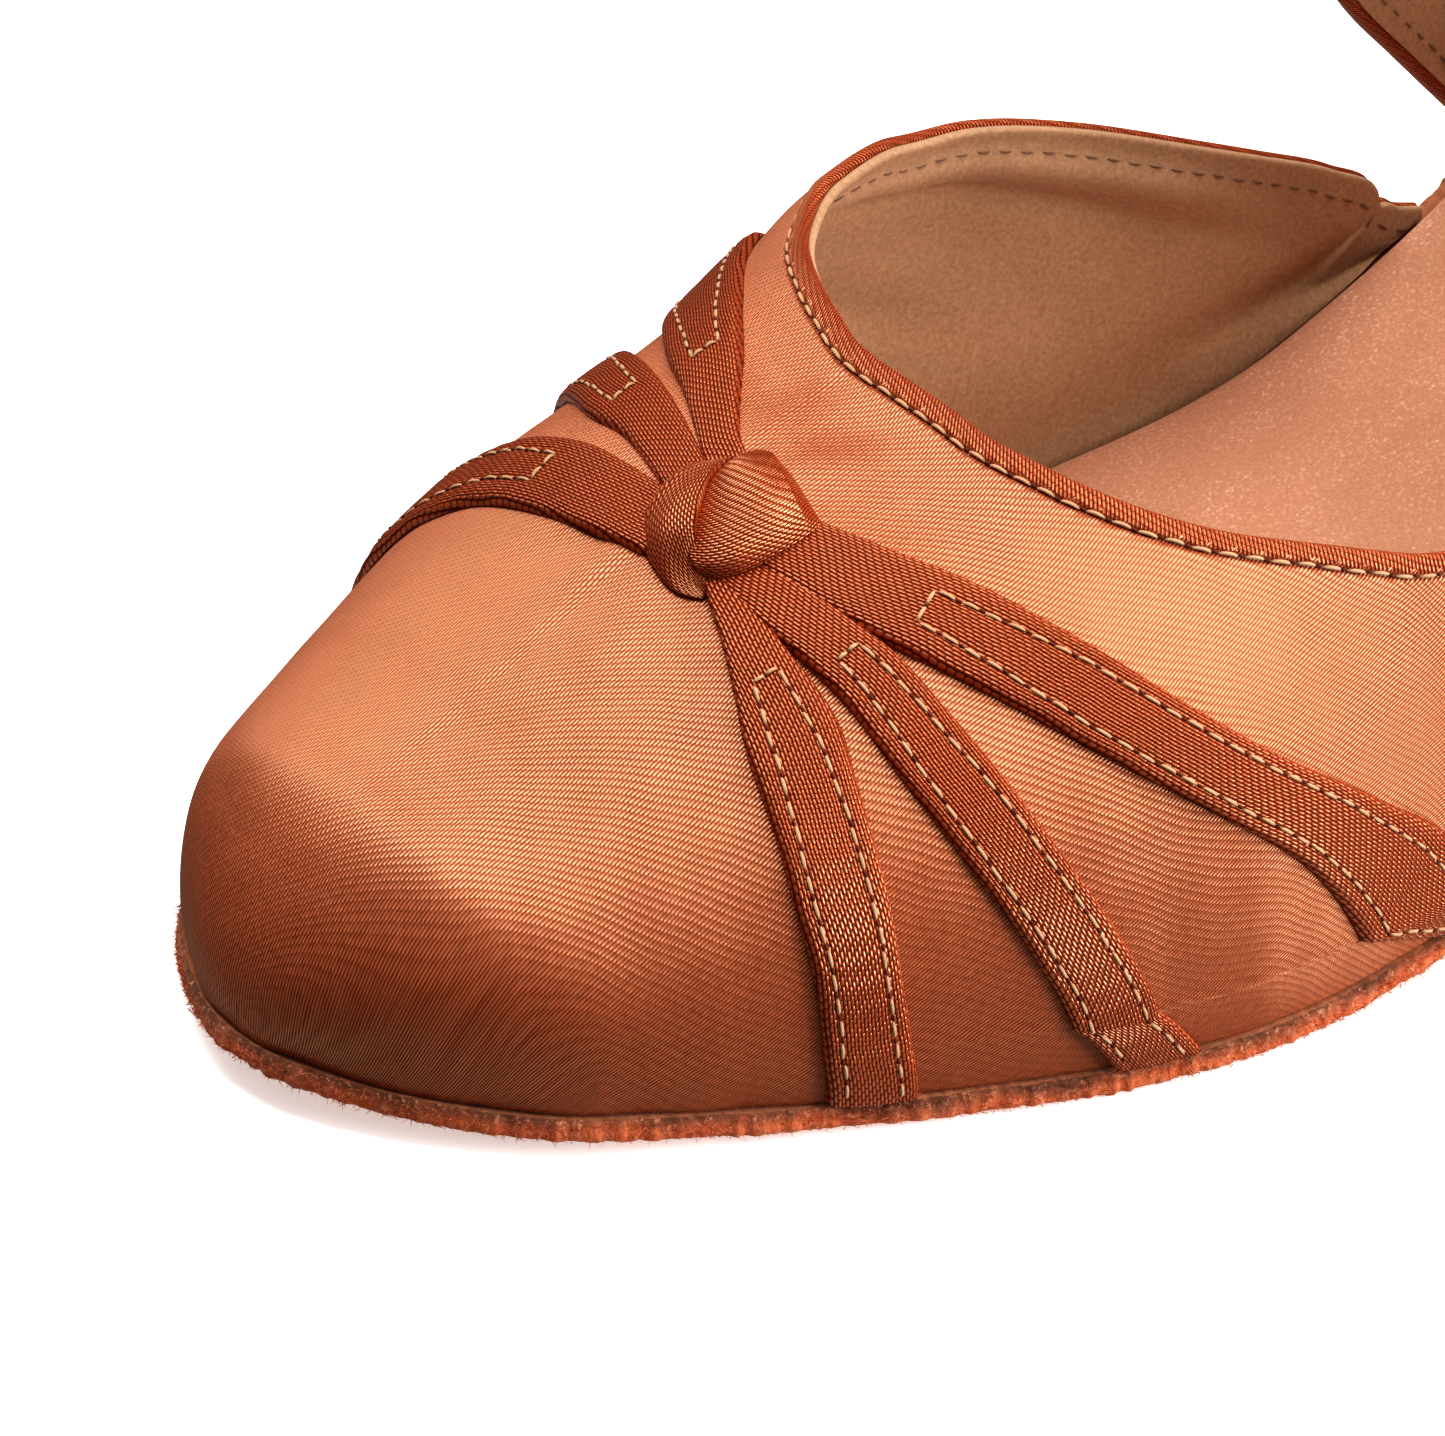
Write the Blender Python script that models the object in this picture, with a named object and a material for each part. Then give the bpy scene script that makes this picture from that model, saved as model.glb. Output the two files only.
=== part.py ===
"""Latin dance shoe, left foot: closed almond toe, open waist, heel counter, instep strap, flared heel.

Frame: metres, Z up, toe towards -X, heel towards +X, outer side towards -Y. The origin is
on the floor under the middle of the forefoot's flat tread. Lengths below are in millimetres
and a station is the distance back from the toe tip, measured along the floor.
"""
import math

import bmesh
import bpy
import numpy as np

for item in list(bpy.data.objects):
    bpy.data.objects.remove(item, do_unlink=True)
for mesh in list(bpy.data.meshes):
    bpy.data.meshes.remove(mesh)

MM = 0.001

# driving sizes of the last
LENGTH = 222.0
BALL_HALF = 39.0
HEEL_RISE = 50.0
TOE_SPRING = 2.7
INSTEP = 63.0
TREAD_STATION = 0.311 * LENGTH
TOE_ROUND = 17.0
HEEL_ROUND = 26.0
TOE_SKEW = 1.3
RIDGE_OFFSET = 3.4
LOW_WALL = 5.0
LOW_BULGE = 0.8
LOW_SHARE = 0.22
NOSE = 0.5
SQUARE_SIDE = 0.84
SQUARE_TOP = 0.91

# making sizes
GAP = 0.3
SOLE_THICK = 2.0
SOLE_RIM = 0.6
VAMP_WALL = 1.8
COUNTER_WALL = 2.2
INSOLE_THICK = 2.5
RIBBON_THICK = 1.1
RIBBON_GAP = 0.4
TOE_RUN = 60.0                  # length over which the toe takes its own shape
TOP_ROUND = 12.0                # rounding of the ridge at the toe tip
LOW_ROUND = 20.0
NOSE_HIGH = 14.0
BACK_RUN = 36.0                 # length over which the back curve fades in
EDGE_STEP = 0.4
TIP_HIGH = 4.0

OUTLINE = (  # station share of length, inner half width, outer half width, both shares of BALL_HALF
    (0.00, 0.400, 0.430), (0.05, 0.580, 0.560), (0.12, 0.767, 0.750), (0.20, 0.930, 0.937),
    (0.27, 0.977, 1.070), (0.33, 0.980, 1.122), (0.41, 0.900, 1.100), (0.50, 0.740, 0.977),
    (0.59, 0.605, 0.828), (0.68, 0.576, 0.712), (0.78, 0.617, 0.670), (0.88, 0.648, 0.664),
    (1.00, 0.640, 0.638))
PROFILE = (  # station share, share of TOE_SPRING, share of HEEL_RISE
    (0.00, 1.00, 0.0), (0.05, 0.62, 0.0), (0.12, 0.27, 0.0), (0.20, 0.06, 0.0), (0.27, 0.0, 0.0),
    (0.35, 0.0, 0.0), (0.41, 0.0, 0.02), (0.45, 0.0, 0.08), (0.54, 0.0, 0.207), (0.63, 0.0, 0.395),
    (0.71, 0.0, 0.60), (0.79, 0.0, 0.775), (0.88, 0.0, 0.90), (1.00, 0.0, 1.0))
HEIGHT = (  # station share, ridge height share of INSTEP, ridge shift inwards in mm, inner squareness
    (0.00, 0.246, 0.0, 0.0), (0.07, 0.331, 0.0, 0.0), (0.135, 0.451, 0.0, 0.0), (0.20, 0.563, 0.0, 0.0),
    (0.27, 0.655, 0.0, 0.0), (0.30, 0.700, 0.8, 0.0), (0.335, 0.755, 2.2, 0.05), (0.37, 0.815, 3.3, 0.15),
    (0.45, 0.940, 4.0, 0.15), (0.52, 1.030, 4.0, 0.15), (0.70, 1.200, 1.0, 0.08), (0.82, 1.260, -3.4, 0.0),
    (1.00, 1.300, -3.4, 0.0))
COLLAR = (  # angle round the section in degrees from the outer feather edge, station share
    (8.0, 0.6712), (18.0, 0.6036), (27.0, 0.5405), (35.0, 0.482), (42.9, 0.427), (49.6, 0.3869),
    (58.9, 0.3405), (65.8, 0.3185), (71.7, 0.3063), (79.2, 0.2977), (88.2, 0.2968), (95.6, 0.3068),
    (104.0, 0.3239), (108.7, 0.3369), (120.3, 0.3959), (130.0, 0.4338), (138.0, 0.4766),
    (146.4, 0.5315), (154.3, 0.5874), (163.0, 0.6351), (172.0, 0.6689))
# each ribbon: station share and angle of its toe-side edge, then of its heel-side edge, row by row from the knot
RIBBONS = {
    "ribbon_front_outer": (
        (0.1752, 76.4, 0.1856, 75.2), (0.1662, 70.2, 0.1874, 70.0), (0.1559, 62.0, 0.1883, 62.4),
        (0.1505, 51.6, 0.1833, 52.9), (0.1473, 39.8, 0.1797, 42.3), (0.1491, 28.1, 0.1788, 30.4),
        (0.1523, 14.0, 0.1833, 17.0), (0.1545, 1.5, 0.1878, 1.5)),
    "ribbon_middle_outer": (
        (0.1901, 75.8, 0.1973, 76.0), (0.1919, 70.0, 0.2072, 70.5), (0.1946, 63.3, 0.2171, 65.0),
        (0.1964, 54.5, 0.2248, 55.5), (0.2077, 41.0, 0.2392, 40.9), (0.2248, 28.9, 0.2568, 29.4),
        (0.2441, 17.0, 0.2784, 17.5), (0.259, 1.5, 0.2959, 1.5)),
    "ribbon_back_outer": (
        (0.2032, 76.2, 0.2279, 77.6), (0.2131, 69.7, 0.2437, 73.8), (0.2243, 63.5, 0.255, 68.4),
        (0.2491, 53.1, 0.277, 58.5), (0.2734, 44.6, 0.2991, 49.1), (0.3036, 36.5, 0.3306, 39.7),
        (0.3423, 27.6, 0.3757, 30.6), (0.3811, 16.0, 0.427, 21.0), (0.4171, 1.5, 0.482, 1.5)),
    "ribbon_front_inner": (
        (0.1784, 94.2, 0.2099, 96.4), (0.1775, 102.5, 0.2126, 103.6), (0.1761, 111.1, 0.2131, 112.0),
        (0.1712, 122.0, 0.2108, 122.5), (0.1676, 136.0, 0.2072, 136.0), (0.1694, 152.0, 0.2045, 152.0),
        (0.1757, 166.0, 0.2081, 166.0), (0.1847, 178.5, 0.218, 178.5)),
    "ribbon_middle_inner": (
        (0.2158, 94.4, 0.2324, 94.4), (0.2207, 101.0, 0.245, 100.6), (0.227, 108.6, 0.2581, 108.6),
        (0.2414, 117.9, 0.2739, 118.4), (0.259, 130.0, 0.2928, 130.0), (0.2784, 145.0, 0.3126, 145.0),
        (0.2973, 160.0, 0.3333, 160.0), (0.3198, 178.5, 0.3604, 178.5)),
    "ribbon_back_inner": (
        (0.2369, 93.9, 0.2459, 92.3), (0.2486, 100.2, 0.2721, 98.4), (0.2631, 107.6, 0.2973, 106.6),
        (0.2811, 115.6, 0.3207, 114.2), (0.3108, 127.0, 0.3541, 124.8), (0.3468, 142.0, 0.3901, 139.5),
        (0.3919, 158.0, 0.4369, 156.5), (0.4414, 178.5, 0.4955, 178.5)),
}
KNOT_AT = (0.21, 84.4)          # station share and angle of the knot's middle
KNOT_HALF_ACROSS = 7.8
KNOT_HALF_ALONG = 6.2
KNOT_HIGH = 5.4
FRONT_EDGE = (  # counter front edge: height above the feather line as a share of INSTEP, station share
    (0.000, 0.7072), (0.0794, 0.6928), (0.1746, 0.6757), (0.327, 0.6486), (0.4762, 0.6216),
    (0.6349, 0.5973))
EAR_END = (139.2, 43.6)         # station and height of the ear's upper corner
TOP_EDGE = (  # counter top edge: station share, height above the feather line as a share of INSTEP
    (0.627, 0.6921), (0.6622, 0.6968), (0.7117, 0.6889), (0.7928, 0.7048), (0.8829, 0.7683),
    (0.955, 0.8032), (1.000, 0.8032))
BACK_CURVE = (  # height above the seat as a share of INSTEP, shift of the back towards the heel in mm
    (0.000, 0.0), (0.127, 1.2), (0.2857, 1.9), (0.4762, 0.8), (0.6667, -1.4), (0.8889, -3.8))
STRAP_PATH = (  # station share, then a height as a share of INSTEP or, in the middle rows, an angle
    ("inner", 0.6622, 0.4048), ("inner", 0.6374, 0.5397), ("inner", 0.6126, 0.6667),
    ("angle", 0.5766, 124.5), ("angle", 0.5473, 110.0), ("angle", 0.5315, 97.0),
    ("angle", 0.5293, 86.0), ("angle", 0.545, 71.0), ("angle", 0.5743, 57.0),
    ("outer", 0.6126, 0.6667), ("outer", 0.6374, 0.5397), ("outer", 0.6622, 0.4048),
    ("outer", 0.6847, 0.2778))
STRAP_WIDE = 9.0
STRAP_THICK = 1.6
WIRE = 1.4
BUCKLE_LONG = 11.0
HEEL_SHAPE = (  # share of the way down, breast and back as shares of LENGTH, half width of BALL_HALF
    (0.00, 0.7775, 1.0014, 0.641), (0.10, 0.800, 1.000, 0.5795), (0.24, 0.8297, 0.9937, 0.4564),
    (0.42, 0.8541, 0.9829, 0.3333), (0.62, 0.8658, 0.9748, 0.2769), (0.82, 0.8694, 0.9748, 0.2718),
    (1.00, 0.8667, 0.9784, 0.2974))

BREAST = HEEL_SHAPE[0][1] * LENGTH
VAMP_END = COLLAR[0][1] * LENGTH
FINISHES = {  # first word of a node's name: colour, roughness, metallic
    "vamp": ((0.62, 0.27, 0.12), 0.42, 0.0),
    "heel": ((0.55, 0.23, 0.10), 0.45, 0.0),
    "ribbon": ((0.52, 0.20, 0.09), 0.36, 0.0),
    "knot": ((0.52, 0.20, 0.09), 0.36, 0.0),
    "instep": ((0.55, 0.23, 0.10), 0.42, 0.0),
    "insole": ((0.44, 0.24, 0.17), 0.85, 0.0),
    "outsole": ((0.36, 0.14, 0.06), 0.95, 0.0),
    "buckle": ((0.75, 0.72, 0.66), 0.25, 1.0),
}


# Tables and sections
def smooth(table, column, x):
    """Monotone cubic through one column of a table, by the table's first column."""
    rows = np.array(table, float)
    xs, ys = rows[:, 0], rows[:, column]
    step = np.diff(xs)
    rate = np.diff(ys) / step
    slope = np.zeros_like(ys)
    for i in range(1, len(xs) - 1):
        if rate[i - 1] * rate[i] > 0:
            a = 2 * step[i] + step[i - 1]
            b = step[i] + 2 * step[i - 1]
            slope[i] = (a + b) / (a / rate[i - 1] + b / rate[i])
    slope[0], slope[-1] = rate[0], rate[-1]
    x = np.clip(np.asarray(x, float), xs[0], xs[-1])
    k = np.clip(np.searchsorted(xs, x, side="right") - 1, 0, len(step) - 1)
    t = (x - xs[k]) / step[k]
    return (ys[k] * (1 + 2 * t) * (1 - t) ** 2 + step[k] * slope[k] * t * (1 - t) ** 2
            + ys[k + 1] * t * t * (3 - 2 * t) + step[k] * slope[k + 1] * t * t * (t - 1))


def round_end(distance, radius):
    return np.sqrt(np.clip(1 - np.clip(1 - distance / radius, 0, 1) ** 2, 0, 1))


def halves(station):
    """Inner and outer half widths of the feather line."""
    share = station / LENGTH
    end = round_end(station, TOE_ROUND) * round_end(LENGTH - station, HEEL_ROUND) * BALL_HALF
    skew = TOE_SKEW * np.clip(1 - station / TOE_RUN, 0, 1) ** 1.5
    return smooth(OUTLINE, 1, share) * end + skew, smooth(OUTLINE, 2, share) * end - skew


def feather(station):
    """Height of the last's bottom edge above the floor."""
    share = station / LENGTH
    rise = TOE_SPRING * smooth(PROFILE, 1, share) + HEEL_RISE * smooth(PROFILE, 2, share)
    return SOLE_THICK + GAP + rise


def section(station, angle):
    """The last's surface: angle runs 0 at the outer feather edge over the ridge to pi at the inner."""
    station, angle = np.broadcast_arrays(np.asarray(station, float), np.asarray(angle, float))
    share = station / LENGTH
    inner, outer = halves(station)
    base = feather(station)
    high = smooth(HEIGHT, 1, share) * INSTEP * round_end(station, TOP_ROUND)
    low_high = LOW_WALL * round_end(station, LOW_ROUND)
    bulge = LOW_BULGE * round_end(station, LOW_ROUND)
    behind = np.clip(station / TOE_RUN, 0, 1)
    ridge = RIDGE_OFFSET * behind + TOE_SKEW * (1 - behind) + smooth(HEIGHT, 2, share)
    side = np.where(angle < np.pi / 2, -1.0, 1.0)
    half = np.where(side < 0, outer, inner)
    turn = np.where(side < 0, angle, np.pi - angle)
    knee = LOW_SHARE * np.pi / 2
    low = np.clip(turn / knee, 0, 1)
    phase = np.clip((turn - knee) / (np.pi / 2 - knee), 0, 1) * np.pi / 2
    square = np.where(side < 0, 0.0, smooth(HEIGHT, 3, share))
    y_low = side * (half + bulge * (1 - (1 - low) ** 2))
    z_low = base + low_high * low
    flank = np.clip(np.cos(phase), 0, 1) ** (SQUARE_SIDE - square)
    y_up = ridge + side * (half + bulge - side * ridge) * flank
    z_up = base + low_high + (high - low_high) * np.sin(phase) ** (SQUARE_TOP - square)
    y = np.where(turn < knee, y_low, y_up)
    z = np.where(turn < knee, z_low, z_up)
    rise = np.clip((z - base) / NOSE_HIGH, 0, 1)
    x = station - NOSE * 4 * rise * (1 - rise) * np.exp(-(station / LOW_ROUND) ** 2)
    return np.stack([x, y, z], -1)


# a flat chart of the last, regular at the toe tip: radius is the root of the station
def chart(station, angle_degrees):
    angle = np.radians(angle_degrees)
    root = np.sqrt(station)
    return np.stack([-root * np.cos(angle), root * np.sin(angle)], -1)


def skin(flat):
    root2 = (flat ** 2).sum(-1)
    return section(root2, np.arctan2(np.clip(flat[..., 1], 0, None), -flat[..., 0]))


def skin_out(flat):
    """Unit outward direction of the last's surface."""
    e = 0.02
    up = np.clip(flat[..., 1], e * 1.01, None)
    mid = np.stack([flat[..., 0], up], -1)
    du = skin(mid + [e, 0]) - skin(mid - [e, 0])
    dv = skin(mid + [0, e]) - skin(mid - [0, e])
    n = np.cross(du, dv)
    n = n / (np.linalg.norm(n, axis=-1, keepdims=True) + 1e-12)
    centre = skin(mid).copy()
    low = feather(np.clip(centre[..., 0], 0, LENGTH)) + 3
    core = np.stack([centre[..., 0] + 6, 0 * centre[..., 0] + 2, low], -1)
    flip = np.sign((n * (centre - core)).sum(-1, keepdims=True))
    return n * np.where(flip == 0, 1, flip)


def resample(points, count):
    """Evenly spaced points along a polyline."""
    length = np.concatenate([[0], np.cumsum(np.linalg.norm(np.diff(points, axis=0), axis=1))])
    at = np.linspace(0, length[-1], count)
    return np.stack([np.interp(at, length, points[:, i]) for i in range(points.shape[1])], -1)


def even_on_surface(flat_line, surface, count):
    """Chart points of a line spaced evenly along the surface."""
    space = surface(flat_line)
    length = np.concatenate([[0], np.cumsum(np.linalg.norm(np.diff(space, axis=0), axis=1))])
    at = np.linspace(0, length[-1], count)
    return np.stack([np.interp(at, length, flat_line[:, i]) for i in range(2)], -1)


def patch(bottom, top, left, right):
    """Grid between four edges of a flat chart, rows from bottom to top."""
    nu, nv = len(bottom), len(left)
    u = np.linspace(0, 1, nu)[None, :, None]
    v = np.linspace(0, 1, nv)[:, None, None]
    ruled = (1 - v) * bottom[None] + v * top[None] + (1 - u) * left[:, None] + u * right[:, None]
    low = (1 - u) * bottom[0] + u * bottom[-1]
    corner = (1 - v) * low + v * ((1 - u) * top[0] + u * top[-1])
    return ruled - corner


# Mesh helpers
shoe = bpy.data.collections.new("latin_dance_shoe")
bpy.context.scene.collection.children.link(shoe)


def finish(name):
    colour, roughness, metallic = FINISHES[name.split("_")[0]]
    material = bpy.data.materials.new(name)
    material.use_nodes = True
    shader = material.node_tree.nodes["Principled BSDF"]
    shader.inputs["Base Color"].default_value = (*colour, 1.0)
    shader.inputs["Roughness"].default_value = roughness
    shader.inputs["Metallic"].default_value = metallic
    return material


def make(name, points, faces):
    mesh = bpy.data.meshes.new(name)
    pts = np.array(points, float)
    pts[:, 0] -= TREAD_STATION
    mesh.from_pydata([tuple(p) for p in pts * MM], [], [tuple(int(i) for i in f) for f in faces])
    work = bmesh.new()
    work.from_mesh(mesh)
    bmesh.ops.recalc_face_normals(work, faces=work.faces)
    work.to_mesh(mesh)
    work.free()
    mesh.update()
    mesh.shade_smooth()
    mesh.set_sharp_from_angle(angle=math.radians(40))
    mesh.materials.append(finish(name))
    item = bpy.data.objects.new(name, mesh)
    shoe.objects.link(item)
    return item


def grid_faces(rows, columns, start, flip=False):
    out = []
    for i in range(rows - 1):
        for j in range(columns - 1):
            a = start + i * columns + j
            quad = (a, a + 1, a + columns + 1, a + columns)
            out.append(quad[::-1] if flip else quad)
    return out


def shell(name, outer, inner):
    """Closed solid between two matching grids, the first facing out."""
    rows, columns = outer.shape[:2]
    n = rows * columns
    points = np.concatenate([outer.reshape(-1, 3), inner.reshape(-1, 3)])
    faces = grid_faces(rows, columns, 0) + grid_faces(rows, columns, n, True)
    rim = ([j for j in range(columns)] + [i * columns + columns - 1 for i in range(1, rows)]
           + [(rows - 1) * columns + j for j in range(columns - 2, -1, -1)]
           + [i * columns for i in range(rows - 2, 0, -1)])
    for a, b in zip(rim, rim[1:] + rim[:1]):
        faces.append((b, a, a + n, b + n))
    return make(name, points, faces)


def loft(name, rings, close_first, close_last):
    """Closed solid through rings of equal count; each end closes flat or on a point."""
    count = len(rings[0])
    points, faces = [], []
    for ring in rings:
        points.extend(ring)
    for i in range(len(rings) - 1):
        for j in range(count):
            k = (j + 1) % count
            faces.append((i * count + j, i * count + k, (i + 1) * count + k, (i + 1) * count + j))
    for where, first in ((close_first, True), (close_last, False)):
        base = 0 if first else (len(rings) - 1) * count
        loop = list(range(base, base + count))
        if isinstance(where, str):
            faces.append(tuple(loop[::-1]) if first else tuple(loop))
        else:
            points.append(where)
            tip = len(points) - 1
            for j in range(count):
                pair = (loop[j], loop[(j + 1) % count])
                faces.append((tip, pair[1], pair[0]) if first else (tip, pair[0], pair[1]))
    return make(name, points, faces)


def offset_outline(side, distance):
    """Plan outline of one side moved outwards by a distance: station and y columns."""
    at = np.concatenate([np.linspace(0, 1, 90) ** 2 * 30, np.linspace(30.5, LENGTH - 30, 160),
                         LENGTH - np.linspace(1, 0, 90) ** 2 * 29])
    inner, outer = halves(at)
    y = inner if side > 0 else -outer
    line = np.stack([at, y], -1)
    tangent = np.gradient(line, axis=0)
    tangent /= np.linalg.norm(tangent, axis=1, keepdims=True) + 1e-12
    normal = np.stack([-tangent[:, 1], tangent[:, 0]], -1) * side
    moved = line + normal * distance
    centre = TOE_SKEW * np.clip(1 - np.clip(moved[:, 0], 0, None) / TOE_RUN, 0, 1) ** 1.5
    keep = side * (moved[:, 1] - centre) > 0
    moved = moved[keep]
    order = np.argsort(moved[:, 0])
    return moved[order]


def plate(name, start, end, distance, low, high, across, rows, flat_end, widen=None):
    """Thin plate under the last, its edge a set distance from the feather line."""
    sides = [offset_outline(-1, distance), offset_outline(1, distance)]
    share = np.linspace(0, 1, rows)
    stations = start + (end - start) * share
    nose = start + np.array([0.25, 0.9, 2.0, 3.6, 5.8, 8.6, 12.0])
    stations = np.concatenate([nose, stations[stations > nose[-1] + 2]])
    if not flat_end:
        tail = end - np.array([12.0, 8.6, 5.8, 3.6, 2.0, 0.9, 0.25])
        stations = np.concatenate([stations[stations < tail[0] - 2], tail])
    extra = [PROFILE[4][0] * LENGTH, PROFILE[5][0] * LENGTH]
    if widen:
        extra += [v for v in widen[0] if start < v < end]
    stations = np.unique(np.concatenate([stations, extra]))
    rings = []
    for s in stations:
        y0 = np.interp(s, sides[0][:, 0], sides[0][:, 1])
        y1 = np.interp(s, sides[1][:, 0], sides[1][:, 1])
        if widen:
            more = float(np.interp(s, widen[0], widen[1]))
            y0, y1 = y0 - more, y1 + more
        y = y0 + (y1 - y0) * np.linspace(0, 1, across)
        base = float(feather(np.clip(s, 0, LENGTH)))
        top = [(s, v, base + high) for v in y]
        bottom = [(s, v, base + low) for v in y[::-1]]
        rings.append(bottom + top)
    base = float(feather(0.0))
    middle = TOE_SKEW * np.clip(1 - max(start, 0) / TOE_RUN, 0, 1) ** 1.5
    first = (start, middle, base + (low + high) / 2)
    if flat_end:
        return loft(name, rings, first, "flat")
    last = (end, 0.0, float(feather(LENGTH)) + (low + high) / 2)
    return loft(name, rings, first, last)


# Outsole and insole
plate("outsole", -SOLE_RIM, BREAST - 2 * GAP, SOLE_RIM, -GAP - SOLE_THICK, -GAP, 5, 34, True)
insole_inset = VAMP_WALL + GAP
# between the vamp's wings and the counter the insole comes out to the edge
insole_wide = ([0.0, VAMP_END + 1.9, VAMP_END + 3.0, VAMP_END + 4.4, VAMP_END + 5.5, LENGTH],
               [0.0, 0.0, VAMP_WALL - 0.1, VAMP_WALL - 0.1, 0.0, 0.0])
plate("insole", insole_inset + 0.9, LENGTH - COUNTER_WALL - GAP - 1.0, -insole_inset - 0.5, 0.0, INSOLE_THICK,
      5, 30, False, insole_wide)

# Vamp: one hollow wall from the outer wing round the toe to the inner wing
VAMP_COLUMNS, VAMP_ROWS = 61, 18
collar_rows = np.array(COLLAR)
collar_angle = np.linspace(COLLAR[0][0], COLLAR[-1][0], 400)
collar_line = chart(smooth(COLLAR, 1, collar_angle) * LENGTH, collar_angle)
root = np.linspace(-math.sqrt(VAMP_END), math.sqrt(COLLAR[-1][1] * LENGTH), 801)
feather_line = np.stack([root, np.zeros_like(root)], -1)
bottom = even_on_surface(feather_line, skin, VAMP_COLUMNS)
top = even_on_surface(collar_line, skin, VAMP_COLUMNS)
rise = np.linspace(0, 1, VAMP_ROWS) ** 0.88
vamp_chart = bottom[None] + (top - bottom)[None] * rise[:, None, None]
vamp_outer = skin(vamp_chart)
vamp_outer_dir = skin_out(vamp_chart)
vamp_inner = vamp_outer - vamp_outer_dir * VAMP_WALL
vamp_inner[0, :, 2] = vamp_outer[0, :, 2]
shell("vamp", vamp_outer, vamp_inner)


# Counter: hollow wall round the heel, its front edges sweeping up to the strap ears
def seat_line():
    at = np.concatenate([LENGTH - np.linspace(0, 1, 160) ** 2 * 60, np.linspace(LENGTH - 60.5, 0.54 * LENGTH, 60)])
    return at


def angle_at(station, height, side):
    """Angle round the section where the last is a height above its feather line."""
    share = station / LENGTH
    high = smooth(HEIGHT, 1, share) * INSTEP
    square = np.where(side < 0, 0.0, smooth(HEIGHT, 3, share))
    knee = LOW_SHARE * np.pi / 2
    up = np.clip((height - LOW_WALL) / (high - LOW_WALL), 0, 1) ** (1 / (SQUARE_TOP - square))
    turn = np.where(height < LOW_WALL, knee * height / LOW_WALL,
                    knee + np.arcsin(up) / (np.pi / 2) * (np.pi / 2 - knee))
    return np.where(side < 0, turn, np.pi - turn)


def counter_point(across, height):
    """across: distance round the seat from the back middle in mm, outer side negative."""
    at = seat_line()
    inner, outer = halves(at)
    reach = []
    for half in (outer, inner):
        line = np.stack([at, half], -1)
        reach.append(np.concatenate([[0], np.cumsum(np.linalg.norm(np.diff(line, axis=0), axis=1))]))
    distance = np.abs(across)
    side = np.where(across < 0, -1.0, 1.0)
    station = np.where(across < 0, np.interp(distance, reach[0], at), np.interp(distance, reach[1], at))
    point = section(station, angle_at(station, height, side))
    end = round_end(LENGTH - station, HEEL_ROUND)
    point[..., 1] *= np.where(end < 0.02, 0, 1)
    point[..., 0] += smooth(BACK_CURVE, 1, height / INSTEP) * np.clip(1 - (LENGTH - station) / BACK_RUN, 0, 1) ** 1.4
    return point


def across_of(station, side):
    at = seat_line()
    inner, outer = halves(at)
    half = outer if side < 0 else inner
    line = np.stack([at, half], -1)
    reach = np.concatenate([[0], np.cumsum(np.linalg.norm(np.diff(line, axis=0), axis=1))])
    return side * np.interp(-np.asarray(station, float), -at, reach)


def counter_skin(flat):
    return counter_point(flat[..., 0], flat[..., 1])


def counter_out(flat):
    e = EDGE_STEP
    du = counter_skin(flat + [e, 0]) - counter_skin(flat - [e, 0])
    mid = np.stack([flat[..., 0], np.clip(flat[..., 1], e, None)], -1)
    dv = counter_skin(mid + [0, e]) - counter_skin(mid - [0, e])
    n = np.cross(du, dv)
    n /= np.linalg.norm(n, axis=-1, keepdims=True) + 1e-12
    p = counter_skin(flat)
    away = p - np.array([0.856 * LENGTH, 0.0, 0.0])
    away[..., 2] = 0
    return n * np.sign((n * away).sum(-1, keepdims=True))


COUNTER_COLUMNS, COUNTER_ROWS = 37, 9
heights = np.linspace(0, FRONT_EDGE[-1][0], 60) * INSTEP
front_stations = smooth(FRONT_EDGE, 1, heights / INSTEP) * LENGTH
edge_outer = np.stack([across_of(front_stations, -1), heights], -1)
edge_inner = np.stack([across_of(front_stations, 1), heights], -1)
top_stations = np.linspace(TOP_EDGE[0][0], 1, 120) * LENGTH
top_heights = smooth(TOP_EDGE, 1, top_stations / LENGTH) * INSTEP
top_outer = np.stack([across_of(top_stations, -1), top_heights], -1)
top_inner = np.stack([across_of(top_stations, 1), top_heights], -1)
seat = np.stack([np.linspace(edge_outer[0, 0], edge_inner[0, 0], 300), np.zeros(300)], -1)
ear_outer = resample(np.stack([edge_outer[-1], top_outer[0]]), 3)
ear_inner = resample(np.stack([top_inner[0], edge_inner[-1]]), 3)
top_middle = even_on_surface(np.concatenate([top_outer, top_inner[::-1][1:]]), counter_skin, COUNTER_COLUMNS - 4)
counter_chart = patch(even_on_surface(seat, counter_skin, COUNTER_COLUMNS),
                      np.concatenate([ear_outer[:-1], top_middle, ear_inner[1:]]),
                      resample(edge_outer, COUNTER_ROWS), resample(edge_inner, COUNTER_ROWS))
counter_outer = counter_skin(counter_chart)
counter_inner = counter_outer - counter_out(counter_chart) * COUNTER_WALL
counter_inner[0, :, 2] = counter_outer[0, :, 2]
shell("heel_counter", counter_outer, counter_inner)


# Heel block and its tip
def heel_ring(front, back, half, count=24):
    """D shape in plan, flat at the breast."""
    points = []
    flat_share = 0.30
    flat = int(count * flat_share)
    for i in range(flat):
        t = i / flat
        points.append((front, -half * 0.86 + 2 * half * 0.86 * t))
    arc = count - flat
    depth = back - front
    for i in range(arc):
        t = i / arc
        a = math.pi * t
        points.append((front + depth * math.sin(a) ** 0.92 * 1.0 if t > 0 else front,
                       half * (math.cos(a) * (1 - 0.14 * abs(math.cos(a)) ** 6))))
    return np.array(points)


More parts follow.
